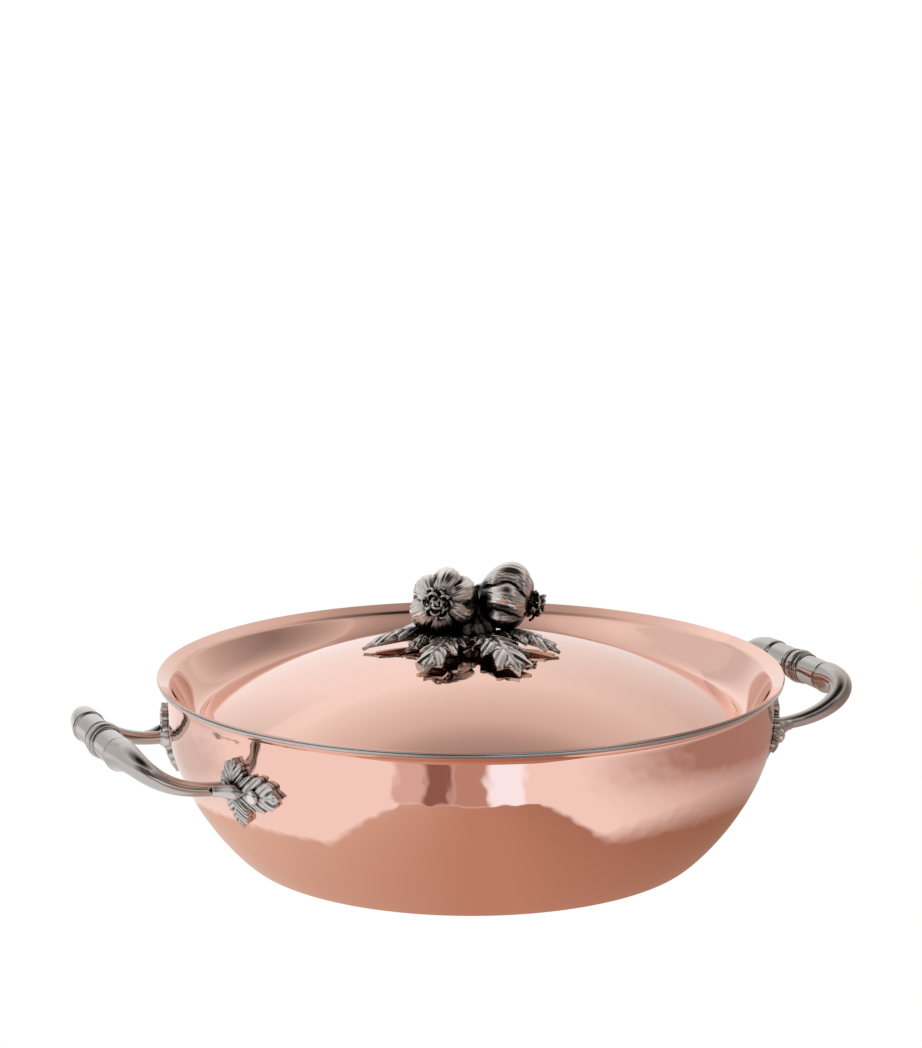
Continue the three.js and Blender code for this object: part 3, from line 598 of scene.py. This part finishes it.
def half_lobe(name, heart, notch, lobe, side, relief):
    """One half of a lobe. Its side is 1 to the left of the midrib and -1 to the right."""
    tip, heart, notch = (np.array(p, float) for p in (lobe["tip"], heart, notch))
    along = tip - heart
    ahead = along / np.linalg.norm(along)
    across = np.array([-ahead[1], ahead[0]]) * side
    bulge = heart + along * lobe["widest"] + across * lobe["width"]
    teeth = lobe["teeth"]

    def place(t, s):
        far = s[:, None]
        rib = heart + far * along
        rim = (1 - far) ** 2 * notch + 2 * far * (1 - far) * bulge + far ** 2 * tip
        phase = (teeth + 0.5) * s
        scallop = np.where(phase < teeth, relief["shape"](phase % 1), 0)
        reach = relief["tooth"] * scallop * (1 - TOOTH_TAPER * s)
        rim = rim + reach[:, None] * (across + TOOTH_LEAN * ahead)
        flat = rib + (rim - rib) * t[:, None]
        vein = 1 - np.abs(((phase + VEIN_SLANT * (1 - t)) % 1) - 0.5) * 2
        groove = np.clip(1 - vein / VEIN_WIDTH, 0, 1) + LINE_DEPTH * np.clip(1 - (1 - vein) / LINE_WIDTH, 0, 1)
        fade = smoothstep(*VEINS_FROM_HEART, s) * (1 - smoothstep(*VEINS_TO_TIP, s))
        groove = groove * smoothstep(*VEINS_FROM_RIB, t) * fade
        pillow = (1 - t ** 3) * (1 - TIP_DROP * smoothstep(*TIP_ZONE, s))
        midrib = np.exp(-(t / RIB_WIDTH) ** 2) * (1 - s ** 2)
        height = relief["edge"] + relief["swell"] * pillow - relief["vein"] * groove - relief["rib"] * midrib
        return points(flat[:, 0], flat[:, 1], height)

    return shaped(name, LOBE_ACROSS, max(LEAST_STEPS, STEPS_PER_TOOTH * teeth), place)


# %% [markdown]
# The half lobes are welded into one blade. Its open rim is extruded, pressed flat at the back and filled,
# so the leaf is a closed casting.

# %% A closed leaf
def leaf(name, heart, lobes, notches, relief):
    halves = []
    for index, lobe in enumerate(lobes):
        halves.append(half_lobe(name, heart, notches[index], lobe, -1, relief))
        halves.append(half_lobe(name, heart, notches[(index + 1) % len(lobes)], lobe, 1, relief))
    obj = welded(halves, name)
    bpy.ops.object.mode_set(mode="EDIT")
    bpy.ops.mesh.select_all(action="DESELECT")
    bpy.ops.mesh.select_mode(type="EDGE")
    bpy.ops.mesh.select_non_manifold(extend=False)
    bpy.ops.mesh.extrude_region_move(TRANSFORM_OT_translate={"value": (0, 0, -relief["edge"] * MM)})
    bpy.ops.transform.resize(value=(1, 1, 0), center_override=(0, 0, relief["back"] * MM))
    bpy.ops.mesh.edge_face_add()
    bpy.ops.mesh.select_all(action="SELECT")
    bpy.ops.mesh.normals_make_consistent(inside=False)
    bpy.ops.mesh.select_mode(type="VERT")
    bpy.ops.object.mode_set(mode="OBJECT")
    return obj


# %% [markdown]
# ## Leaf brackets
# A bracket leaf carries each foot of a bar, and a rivet holds it to the wall. It lies flat first, with its rivet at
# the centre. Then a formula wraps it round the wall: X becomes the way round the pot, Y the way up,
# and Z the distance from the copper. A Shrinkwrap modifier would do the same, but would flatten the relief.

# %% Wrap a flat piece round the wall
RIVET_TURN, RIVET_HEIGHT = math.radians(26.2), 56.5
wall_line = np.vstack([bezier(WALL_CORNERS, 200), [(WALL_RADIUS, 90)]])
wall_lean = np.arctan2(np.gradient(wall_line[:, 0]), np.gradient(wall_line[:, 1]))
setback = (RIVET_TURN - math.asin(FOOT_SPREAD / FOOT_WALL)) * WALL_RADIUS
print("the foot sits", round(setback, 1), "mm before the rivet")


def on_wall(turn, side):
    def place(x, y, z):
        height = RIVET_HEIGHT + y
        radius = np.interp(height, wall_line[:, 1], wall_line[:, 0])
        lean = np.interp(height, wall_line[:, 1], wall_lean)
        angle = turn + side * (RIVET_TURN + x / WALL_RADIUS)
        out = radius + z * np.cos(lean)
        return points(out * np.cos(angle), out * np.sin(angle), height - z * np.sin(lean))

    return place


# %% [markdown]
# A bracket has three lobes, a boss that the foot of the bar enters, and a short stalk that ends in a cup.
# The boss is a sphere that is stretched and pressed flat at the back. The stalk and its cup are tubes.

# %% A flat bracket
BRACKET = {"edge": 2.9, "swell": 1.1, "vein": 1.1, "rib": 0.9, "back": 0.35, "tooth": 1.9, "shape": round_tooth}
BRACKET_LOBES = [
    {"tip": (14.5, 0.8), "width": 10.6, "widest": 0.6, "teeth": 3},
    {"tip": (-12.9, 14.8), "width": 6.6, "widest": 0.65, "teeth": 2},
    {"tip": (-13.9, -18.0), "width": 6.6, "widest": 0.55, "teeth": 3},
]
BRACKET_NOTCHES = [(-9.3, -4.0), (-8.6, 5.0), (-setback - 3, 0)]
BRACKET_HEART = (-setback * 0.73, 0)
BOSS_LENGTH, BOSS_WIDTH, BOSS_DROP = 6.5, 5, 0.5
STALK_CORNERS = [(-5.5, 0, 2.6), (-10, 0.2, 3.4), (-14.5, 1.0, 6.8), (-17.6, 1.5, 11.0)]
CUP_DEPTH, CUP_RADIUS = (0, 0.3, 0.1, -1.0, -2.2), np.array([2.1, 2.0, 1.5, 1.3, 0.05])
STALK_SIDES, STALK_THIN, STALK_SWELL, STALK_NARROW = 20, 0.8, 2.5, 1.2


def boss_place(x, y, z):
    return points(x * BOSS_LENGTH - setback, y * BOSS_WIDTH - BOSS_DROP, np.maximum(z * BOSS_LENGTH, BRACKET["back"]))


def bracket(name):
    blade = leaf(name, BRACKET_HEART, BRACKET_LOBES, BRACKET_NOTCHES, BRACKET)
    bpy.ops.object.select_all(action="DESELECT")
    bpy.ops.mesh.primitive_uv_sphere_add(segments=32, ring_count=20, radius=MM, location=(0, 0, 0))
    boss = bent(named("boss"), boss_place)
    stalk_line = bezier(STALK_CORNERS, 16)
    share = np.linspace(0, 1, len(stalk_line))
    thick = STALK_THIN + STALK_SWELL * smoothstep(0, 0.4, share) - STALK_NARROW * smoothstep(0.4, 0.95, share)
    stalk = shaped("stalk", STALK_SIDES, len(stalk_line) - 1, tube(stalk_line, thick, ALONG_Y))
    ahead = (stalk_line[-1] - stalk_line[-2]) / np.linalg.norm(stalk_line[-1] - stalk_line[-2])
    cup_line = np.array([stalk_line[-1] + depth * ahead for depth in CUP_DEPTH])
    cup = shaped("cup", STALK_SIDES, len(cup_line) - 1, tube(cup_line, CUP_RADIUS, ALONG_Y, ahead))
    return welded([blade, boss, stalk, cup], name)


# %% [markdown]
# Each handle has a front and a rear bracket, mirror images of each other. The rivet's head is turned and then
# wrapped onto the wall with the leaf, so it stands square to the copper.

# %% Brackets and rivets
RIVET_PROFILE = [(0, -2.5), (2.2, -2.5), (2.2, 3.9), (3.1, 3.9), (3.2, 4.4),
                 (2.9, 5.3), (2.2, 6.0), (1.2, 6.4), (0, 6.5)]
RIVET_STEPS = 24
for handle, turn, end, side in [("right", 0, "front", -1), ("right", 0, "rear", 1),
                                ("left", math.pi, "rear", -1), ("left", math.pi, "front", 1)]:
    piece = bent(bracket(f"{handle}_{end}_bracket"), on_wall(turn, side))
    rivet = bent(turned(f"{handle}_{end}_rivet_head", RIVET_PROFILE, RIVET_STEPS), on_wall(turn, side))
    # The bracket gets tarnish with painted shade in its hollows, and the rivet helps to shade it.
    shade_hollows([piece, rivet], reach=5)
    finished(piece, "pot", "antique_silver", worn_and_shaded_silver, f"{handle}_{end}_leaf")
    finished(rivet, "pot", "bright_silver", satin_silver, f"{handle}_{end}_rivet", angle=50)

# %% [markdown]
# ## Finial
# The lid is lifted by a group of two garlic heads on a spray of leaves. A head is a grid rolled round an axis
# into a bulb, and its points move in and out with the cloves and with fine lines in the skin.

# %% Garlic heads
BULB_RADIUS, BULB_LENGTH = 16.0, 25
# Height and radius of the bulb, as shares of its length and of its radius.
BULB_OUTLINE = [(-0.62, 0.0), (-0.58, 0.10), (-0.50, 0.20), (-0.42, 0.52), (-0.28, 0.84), (-0.06, 1.0),
                (0.14, 1.0), (0.32, 0.88), (0.44, 0.66), (0.50, 0.40), (0.49, 0.2), (0.47, 0.0)]
CLOVE_DEPTH, CLOVE_LEVEL, CLOVE_ROUND = 0.27, 0.92, 0.6
SWAY, UNEVEN = 0.05, 0.05
COARSE_LINES, COARSE_DEPTH, FINE_LINES, FINE_DEPTH = 34, 0.014, 57, 0.010


def smooth_path(corners, steps=6):
    """A smooth line through the corners."""
    p = np.array([corners[0], *corners, corners[-1]], float)
    t = np.linspace(0, 1, steps, endpoint=False)[:, None]
    pieces = [0.5 * (2 * b + (c - a) * t + (2 * a - 5 * b + 4 * c - d) * t ** 2 + (3 * b - a - 3 * c + d) * t ** 3)
              for a, b, c, d in zip(p, p[1:], p[2:], p[3:])]
    return np.clip(np.vstack([*pieces, p[-1:]]), (-1, 0), (1, 2))


bulb_line = smooth_path(BULB_OUTLINE)
bulb_shares = np.linspace(0, 1, len(bulb_line))


def garlic(seed, cloves):
    def place(around, along):
        height = np.interp(along, bulb_shares, bulb_line[:, 0])
        radius = np.interp(along, bulb_shares, bulb_line[:, 1])
        turn = FULL_TURN * around
        sway = SWAY * np.sin(5 * height + seed)
        phase = cloves * (around + sway) + 0.22 * np.sin(turn + seed) + seed
        swell = np.abs(np.sin(math.pi * phase)) ** CLOVE_ROUND
        uneven = UNEVEN * np.sin(2 * turn + 3 * seed)
        ends = 0.4 + 0.6 * smoothstep(0.1, 0.4, np.abs(height))
        coarse = COARSE_DEPTH * np.sin(COARSE_LINES * (turn + 2 * sway))
        fine = FINE_DEPTH * np.sin(FINE_LINES * turn + 3 * np.sin(4 * height))
        lines = ends * (coarse + fine)
        body = smoothstep(0.15, 0.6, radius)
        out = BULB_RADIUS * radius * (1 + body * (CLOVE_DEPTH * (swell - CLOVE_LEVEL) + uneven + lines))
        return points(out * np.cos(turn), out * np.sin(turn), BULB_LENGTH * height)

    return place


print("bulb outline:", len(bulb_line), "points")

# %% [markdown]
# The dried roots are a tuft of curls on a small disc. Hair strands would not be solid, so each curl is a thin tube
# along more than half of a small circle. A generator with a fixed seed scatters them the same way each time.

# %% Root tufts
ROOTS, ROOT_ROWS, CURL_POINTS = 24, 3, 12
ROOT_DISC = [(0, 12.2), (5.2, 12.2), (5.8, 13.2), (4.6, 14.6), (0, 15.4)]
ROOT_DISC_STEPS = 20
TUFT_INNER, TUFT_SPREAD, TUFT_BASE, TUFT_RISE = 1.2, 4.6, 14.2, 3.6
CURL_SIDES, CURL_THICK, CURL_TAPER, CURL_SIDE = 8, 0.8, 0.25, np.array([0.3, 0.5, 0.8])
CURL_SIZE, CURL_ARC, CURL_TILT = (1.4, 2.2), (200, 300), (0.3, 1.2)


def root_tuft(name, seed):
    rng = random.Random(seed)
    disc = turned(name + "_disc", ROOT_DISC, ROOT_DISC_STEPS)
    width = CURL_THICK - CURL_TAPER * np.linspace(0, 1, CURL_POINTS)
    curls = []
    for index in range(ROOTS):
        row = (index % ROOT_ROWS) / (ROOT_ROWS - 1)
        spot = FULL_TURN * (index / ROOTS * ROOT_ROWS + rng.uniform(-0.05, 0.05))
        reach = TUFT_INNER + TUFT_SPREAD * row + rng.uniform(-0.6, 0.6)
        lift = TUFT_BASE + TUFT_RISE * (1 - row ** 2) + rng.uniform(-0.8, 0.8)
        size = rng.uniform(*CURL_SIZE)
        turn = np.linspace(0, math.radians(rng.uniform(*CURL_ARC)), CURL_POINTS)
        spin = rng.uniform(0, FULL_TURN)
        tilt = rng.uniform(*CURL_TILT)
        x, y = size * np.cos(turn), size * np.sin(turn) * math.cos(tilt)
        circle = points(x * math.cos(spin) - y * math.sin(spin), x * math.sin(spin) + y * math.cos(spin),
                        size * np.sin(turn) * math.sin(tilt))
        line = circle + (reach * math.cos(spot), reach * math.sin(spot), lift)
        curls.append(shaped("curl", CURL_SIDES, CURL_POINTS - 1, tube(line, width, CURL_SIDE)))
    return welded([disc, *curls], name)


# %% [markdown]
# Both heads are made upright, with the roots on top. A matrix then lays each one down, so that its roots point
# outwards, and moves it onto the lid. Each piece of the finial is kept with its CAD node and its smoothing angle.

# %% Heads and roots in place
HEAD_SMOOTH, BULB_ACROSS, BULB_ALONG = 60, 200, 66
HEADS = [
    {"name": "left", "at": (-14, 0.5, 18.7), "roots": (-0.55, -0.81, 0.19), "seed": 0.35, "cloves": 6},
    {"name": "right", "at": (17, -2, 19.8), "roots": (0.82, -0.5, -0.25), "seed": 1.3, "cloves": 5},
]
finial = []
for head in HEADS:
    name, (x, y, z) = head["name"], head["at"]
    lay_down = Vector((0, 0, 1)).rotation_difference(Vector(head["roots"]).normalized()).to_matrix().to_4x4()
    spot = Matrix.Translation(Vector((x, y, crown + z)) * MM) @ lay_down
    cloves = garlic(head["seed"], head["cloves"])
    bulb = welded([shaped("bulb", BULB_ACROSS, BULB_ALONG, cloves)], f"{name}_garlic")
    bulb.data.transform(spot)
    finial.append((bulb, f"{name}_garlic_head", HEAD_SMOOTH))
    tuft = root_tuft(f"{name}_roots", name)
    tuft.data.transform(spot)
    finial.append((tuft, f"{name}_root_tuft", HEAD_SMOOTH))
print("heads and roots:", len(finial), "pieces")

# %% [markdown]
# Seven leaves arch out of a small hub, and their tips come down to the dome. Each is made flat, as on the brackets
# but with pointed teeth, and is then bent along a spine from the hub to the dome.

# %% Spray of leaves
SPRAY_RELIEF = {"edge": 0.8, "swell": 1.0, "vein": 1.2, "rib": 1.1, "back": -0.6, "shape": pointed_tooth}
STALK, STALK_HALF, SPRAY_TOOTH, LEAF_ARCH = 10.0, 2.2, 0.62, 0.0175
SPRAY_START, TIP_LIFT, SPINE_STEPS = 2.2, 1.0, 60
HEART_SHARE, BULGE = 0.1, 1.05
# Two corners of the spine, as a share of the leaf's length and a rise over its start.
SPINE_CORNERS = [(0.35, 5), (0.7, 1.5)]
LEAF_SMOOTH = 40
# Name, direction in degrees, reach from the axis and half width of each leaf.
SPRAY = [("left", 165, 52, 7), ("small", 193, 38, 4.5), ("front_left", 224, 57, 9), ("front", 270, 58, 12),
         ("front_right", 313, 46, 9), ("rear_right", 60, 40, 10), ("rear_left", 122, 40, 10)]


def dome_height(radius):
    return crown - sphere + math.sqrt(sphere ** 2 - radius ** 2)


def spray_leaf(name, angle, reach, width):
    length = reach - STALK
    heart = length * HEART_SHARE
    lobes = [{"tip": (length, 0), "width": width * BULGE, "widest": 0.45, "teeth": 3},
             {"tip": (0, 0), "width": STALK_HALF, "widest": 0.5, "teeth": 1}]
    relief = dict(SPRAY_RELIEF, tooth=SPRAY_TOOTH * width)
    blade = leaf(name, (heart, 0), lobes, [(heart, -STALK_HALF), (heart, STALK_HALF)], relief)
    start, end = crown + SPRAY_START, dome_height(reach) + TIP_LIFT
    middle = [(STALK + length * share, start + rise) for share, rise in SPINE_CORNERS]
    spine = bezier([(STALK, start), *middle, (reach, end)], SPINE_STEPS)
    slope = np.gradient(spine, axis=0)
    slope /= np.linalg.norm(slope, axis=1)[:, None]
    turn = math.radians(angle)

    def place(x, y, z):
        share = np.clip(x / length, 0, 1)
        out, up, ahead, rise = (np.interp(share * SPINE_STEPS, np.arange(SPINE_STEPS + 1), column)
                                for column in (*spine.T, *slope.T))
        lift = z - LEAF_ARCH * y ** 2 * np.sin(math.pi * share)
        out, up = out - rise * lift, up + ahead * lift
        return points(out * math.cos(turn) - y * math.sin(turn), out * math.sin(turn) + y * math.cos(turn), up)

    return bent(blade, place)


for name, angle, reach, width in SPRAY:
    finial.append((spray_leaf(f"spray_{name}", angle, reach, width), f"finial_leaf_{name}", LEAF_SMOOTH))
print("finial with its leaves:", len(finial), "pieces")

# %% [markdown]
# The hub under the heads is a bundle of stalks that shows between them, most of all from behind. A turned stem would
# look too plain there, so its radius goes in and out in nine flutes that wind a little.

# %% Hub
STEM = [(0, 0.3), (12, 0.3), (13, 5), (11.5, 9), (6, 13), (4, 19), (3, 24), (0, 25)]
FLUTES, FLUTE_DEPTH, FLUTE_WIND = 9, 0.2, 2
HUB_ACROSS, HUB_ALONG = 144, 64


def over_crown(profile):
    """A profile whose heights are counted from the crown of the dome."""
    return [(radius, crown + height) for radius, height in profile]


stem_radius, stem_height = np.array(over_crown(STEM)).T


def fluted(around, along):
    share = along * (len(STEM) - 1)
    turn = FULL_TURN * around
    flute = np.abs(np.cos(FLUTES / 2 * turn + FLUTE_WIND * along))
    radius = np.interp(share, np.arange(len(STEM)), stem_radius) * (1 - FLUTE_DEPTH + FLUTE_DEPTH * flute)
    height = np.interp(share, np.arange(len(STEM)), stem_height)
    return points(radius * np.cos(turn), radius * np.sin(turn), height)


hub = outwards(shaped("finial_core", HUB_ACROSS, HUB_ALONG, fluted), CAST_WELD)
finial.append((hub, "finial_hub", LEAF_SMOOTH))

# %% [markdown]
# All pieces of the finial shade one another, so the tarnish and painted shade in their hollows are worked out
# together.
# The hub gets the darkest silver as painted shade, because it lies in the shadow under the heads.

# %% Finish of the finial
shade_hollows([piece for piece, node, angle in finial], reach=9)
for piece, node, angle in finial:
    # The hub's darker silver is painted shade under the heads.
    finished(piece, "lid", "antique_silver", hub_shade_silver if piece is hub else antique_silver, node, angle=angle)

# %% [markdown]
# Under the lid, a screw through a washer holds the finial. Both are turned. The washer's profile is a closed loop
# that stays off the axis, so Spin leaves its hole open.

# %% Washer and screw under the lid
WASHER = [(2.8, -3.1), (8, -3.1), (8, -2.1), (2.8, -2.1), (2.8, -3.1)]
SCREW = [(0, -6.3), (3, -6.3), (5, -4.5), (5, -3.3), (2.5, -3.3), (2.5, 6), (0, 6)]
WASHER_STEPS, SCREW_STEPS = 48, 32
washer = turned("lid_washer", over_crown(WASHER), WASHER_STEPS)
finished(washer, "lid", "bright_silver", silver, "finial_washer")
screw = turned("lid_screw", over_crown(SCREW), SCREW_STEPS)
finished(screw, "lid", "bright_silver", silver, "finial_screw")

# %% [markdown]
# ## Studio
# Polished metal shows its surroundings, so the studio is built from what the pot mirrors: a floor that is shaded
# round the pot, a ceiling that is dark in the middle, and a dark side, a front side and a back side.
# Lamps would leave bright dots in the copper, so all of these glow by themselves.
# The camera sees a plain white floor, and looks through the ceiling and the sides.

# %% Light that the camera sees differently
VIEW_TURN = math.radians(-23.2)
RIGHT = (math.cos(VIEW_TURN), math.sin(VIEW_TURN))
FRONT = (math.sin(VIEW_TURN), -math.cos(VIEW_TURN))
WHITE = (1, 1, 1)


def studio_light(name, tones, seen_as):
    """A material that the camera sees as one kind of node, and every other ray as a glow in the given tones."""
    material = bpy.data.materials.new(name)
    material.use_nodes = True
    tree = material.node_tree
    tree.nodes.clear()
    start = Socket(tree)
    place = start.node("ShaderNodeTexCoord", output="Object")
    x, y = (start.node("ShaderNodeSeparateXYZ", inputs={0: place}, output=axis) for axis in "XY")
    camera_ray = start.node("ShaderNodeLightPath", output="Is Camera Ray")
    glow = start.node("ShaderNodeEmission", inputs={"Color": tones(x, y)})
    seen = start.node("ShaderNodeMixShader", inputs={0: camera_ray, 1: glow, 2: start.node(seen_as)})
    surface = tree.nodes.new("ShaderNodeOutputMaterial").inputs["Surface"]
    tree.links.new(seen.socket, surface)
    return material


def rightwards(x, y):
    return x * RIGHT[0] + y * RIGHT[1]


def frontwards(x, y):
    return x * FRONT[0] + y * FRONT[1]


def distance(x, y):
    return (x ** 2 + y ** 2) ** 0.5


# %% [markdown]
# The wall mirrors the floor before it. Its upper half shows the far floor, pale on the left and brown with painted
# shade on the right, with four upright bands in the middle. Its lower half shows the near floor, where the pot's
# shadow is painted as a disc round the pot that runs out in a strip to the front, tinted by painted light from the
# copper. Distances are in metres from the axis of the pot.

# %% Tones of the floor
# The far floor is pale on the left and a darker brown on the right, as painted shade.
FAR_PALE, FAR_SHADE_BROWN = (0.98, 0.95, 0.95), (0.42, 0.27, 0.23)
FAR_SLANT, FAR_CHANGE = 0.6, (0.02, 0.3)
# Both sides of each band, as a share to the right for each step to the front, and its tone.
BANDS = [(-0.41, -0.24, (0.74, 0.58, 0.56)), (-0.24, -0.09, (0.30, 0.15, 0.13)),
         (-0.09, 0.09, (0.54, 0.35, 0.29)), (0.09, 0.28, (1.05, 1.28, 1.5))]
BAND_BLUR, BAND_START = 0.02, (0.25, 0.275)
SHADE_TONE, SHADE_LEFT, SHADE_BACK, SHADE_EDGE = (0.74, 0.71, 0.70), 0.27, 0.06, (0.14, 0.06)
DISC_OUTER, DISC_INNER, DISC_BLUR, DISC_BLUR_FROM = 0.159, 0.153, 0.05, (0.06, 0.2)
STRIP_SIDE, STRIP_START, STRIP_END = (0.092, 0.084), (0, 0.02), (0.266, 0.26)
# Tones of the pot's painted shadow on the near floor, tinted by painted light from the copper.
SHADOW_LEFT, SHADOW_MIDDLE, SHADOW_RIGHT = (0.76, 0.60, 0.51), (0.54, 0.32, 0.24), (0.35, 0.19, 0.13)
LEFT_TO_MIDDLE, MIDDLE_TO_RIGHT = (-0.13, 0), (0.02, 0.14)


def floor_tones(x, y):
    right, front = rightwards(x, y), frontwards(x, y)
    ratio = right / front
    # Painted shade darkens the far floor towards the right.
    colour = blend((right - FAR_SLANT * front).between(*FAR_CHANGE), FAR_PALE, FAR_SHADE_BROWN)
    ahead = front.between(*BAND_START)
    for low, high, tone in BANDS:
        band = ratio.between(low - BAND_BLUR, low + BAND_BLUR) * ratio.between(high + BAND_BLUR, high - BAND_BLUR)
        colour = blend(band * ahead, colour, tone)
    colour = blend(distance(right + SHADE_LEFT, front + SHADE_BACK).between(*SHADE_EDGE), colour, SHADE_TONE)
    # The near floor gets the pot's painted shadow.
    near = blend(right.between(*LEFT_TO_MIDDLE), SHADOW_LEFT, SHADOW_MIDDLE)
    near = blend(right.between(*MIDDLE_TO_RIGHT), near, SHADOW_RIGHT)
    strip = abs(right).between(*STRIP_SIDE) * front.between(*STRIP_START) * front.between(*STRIP_END)
    disc = distance(x, y).between(right.between(*DISC_BLUR_FROM) * DISC_BLUR + DISC_OUTER, DISC_INNER)
    return blend(disc, blend(strip, colour, near), near)


# %% [markdown]
# The dome and the lid's wall mirror the ceiling and the sides. Each has its own soft change from light to dark,
# read from the tones that the lid shows.

# %% Tones of the ceiling and the sides
DARK_FRONT, DARK_RIGHT, DARK_TO_ROUND, ROUND_TO_FAR = 0.45, 0.2, (0.4, 1.35), (1.15, 2.15)
FAR_RIGHT, FAR_LEFT, FAR_BACK = (-0.5, 1.4), (-1, -2.1), (0.4, -0.6)
FRONT_CHANGE, BACK_RIGHT, BACK_LEFT = (-0.3, -1.7), (-0.3, 1.6), (-0.9, -2.1)
SIDE_LOW, SIDE_NEAR = (1.25, 0.6), (1.9, 0.2)
DARK_TONE, ROUND_TONE = (0.02, 0.02, 0.02), (0.66, 0.57, 0.53)
RIGHT_TONE, LEFT_TONE, ROOM_TONE = (0.70, 0.64, 0.60), (0.70, 0.68, 0.67), (0.76, 0.74, 0.73)
FRONT_DARK, FRONT_LIGHT = (0.13, 0.12, 0.115), (0.65, 0.63, 0.62)
SIDE_LIGHT, SIDE_DARK = (0.76, 0.70, 0.66), (0.28, 0.235, 0.215)


def ceiling_tones(x, y):
    ahead, aside = frontwards(x, y) - DARK_FRONT, rightwards(x, y) - DARK_RIGHT
    reach = distance(ahead, aside)
    colour = blend(reach.between(*DARK_TO_ROUND), DARK_TONE, ROUND_TONE)
    far = blend(aside.between(*FAR_RIGHT), WHITE, RIGHT_TONE)
    far = blend(aside.between(*FAR_LEFT) * ahead.between(*FAR_BACK), far, ROOM_TONE)
    return blend(reach.between(*ROUND_TO_FAR), colour, far)


def front_tones(x, y):
    return blend(x.between(*FRONT_CHANGE), FRONT_DARK, FRONT_LIGHT)


def back_tones(x, y):
    colour = blend(x.between(*BACK_RIGHT), WHITE, RIGHT_TONE)
    return blend(x.between(*BACK_LEFT), colour, LEFT_TONE)


def side_tones(x, y):
    return blend(y.between(*SIDE_LOW) * x.between(*SIDE_NEAR), SIDE_LIGHT, SIDE_DARK)


# %% [markdown]
# The floor is a large disc just under the pot. The other four are square cards: the ceiling lies flat,
# and the sides stand upright, turned to face the pot as the camera sees it.

# %% Floor, ceiling and sides
FLOOR_RADIUS, FLOOR_DROP = 6, 0.0006


def card(name, size, at, material, tones, stands=None):
    """A square of light. One that stands is turned by that much about the Z axis."""
    bpy.ops.mesh.primitive_plane_add(size=size, location=at)
    obj = named(name)
    if stands is not None:
        obj.rotation_euler = (math.pi / 2, 0, stands)
    obj.data.materials.append(studio_light(material, tones, "ShaderNodeBsdfTransparent"))
    return obj


def away(direction, reach, height):
    return (reach * direction[0], reach * direction[1], height)


bpy.ops.object.select_all(action="DESELECT")
bpy.ops.mesh.primitive_circle_add(vertices=96, radius=FLOOR_RADIUS, fill_type="NGON", location=(0, 0, -FLOOR_DROP))
floor = named("floor")
floor.data.materials.append(studio_light("white floor", floor_tones, "ShaderNodeEmission"))
ceiling = card("ceiling", 4, (0, 0, 1.5), "soft ceiling", ceiling_tones)
dark_side = card("dark_side", 4.4, away(RIGHT, 1.4, 0.3), "dark side", side_tones, VIEW_TURN + math.pi / 2)
front_side = card("front_side", 3.6, away(FRONT, 1.9, 0.6), "front side", front_tones, VIEW_TURN)
back_side = card("back_side", 6, away(FRONT, -2.6, 0), "back side", back_tones, VIEW_TURN)
print("studio:", [obj.name for obj in (floor, ceiling, dark_side, front_side, back_side)])

# %% [markdown]
# The world fills the gaps between the cards with a soft grey, and is white behind the pot for the camera.

# %% World
world = bpy.context.scene.world or bpy.data.worlds.new("studio")
bpy.context.scene.world = world
world.use_nodes = True
background = world.node_tree.nodes["Background"]
camera_ray = Socket(world.node_tree).node("ShaderNodeLightPath", output="Is Camera Ray")
world.node_tree.links.new(blend(camera_ray, ROOM_TONE, WHITE).socket, background.inputs["Color"])
background.inputs["Strength"].default_value = 1.0
print("world tone:", ROOM_TONE)

# %% [markdown]
# The camera stands where the photograph was taken from. Its place, its turn and its lens were fitted to the ellipses
# of the rim and the base, and to the handles. The Standard view shows colours as they are written.

# %% Camera
CAMERA_AT = (-0.5138, -1.1987, 0.4085)
CAMERA_TILT, CAMERA_TURN, CAMERA_LENS = 79.11, -22.996, 95.92
camera_data = bpy.data.cameras.new("camera")
camera = bpy.data.objects.new("camera", camera_data)
bpy.context.scene.collection.objects.link(camera)
camera.location = CAMERA_AT
camera.rotation_euler = (math.radians(CAMERA_TILT), 0, math.radians(CAMERA_TURN))
camera_data.lens = CAMERA_LENS
bpy.context.scene.camera = camera
bpy.context.scene.view_settings.view_transform = "Standard"
print("camera at", CAMERA_AT, "with a lens of", CAMERA_LENS, "mm")
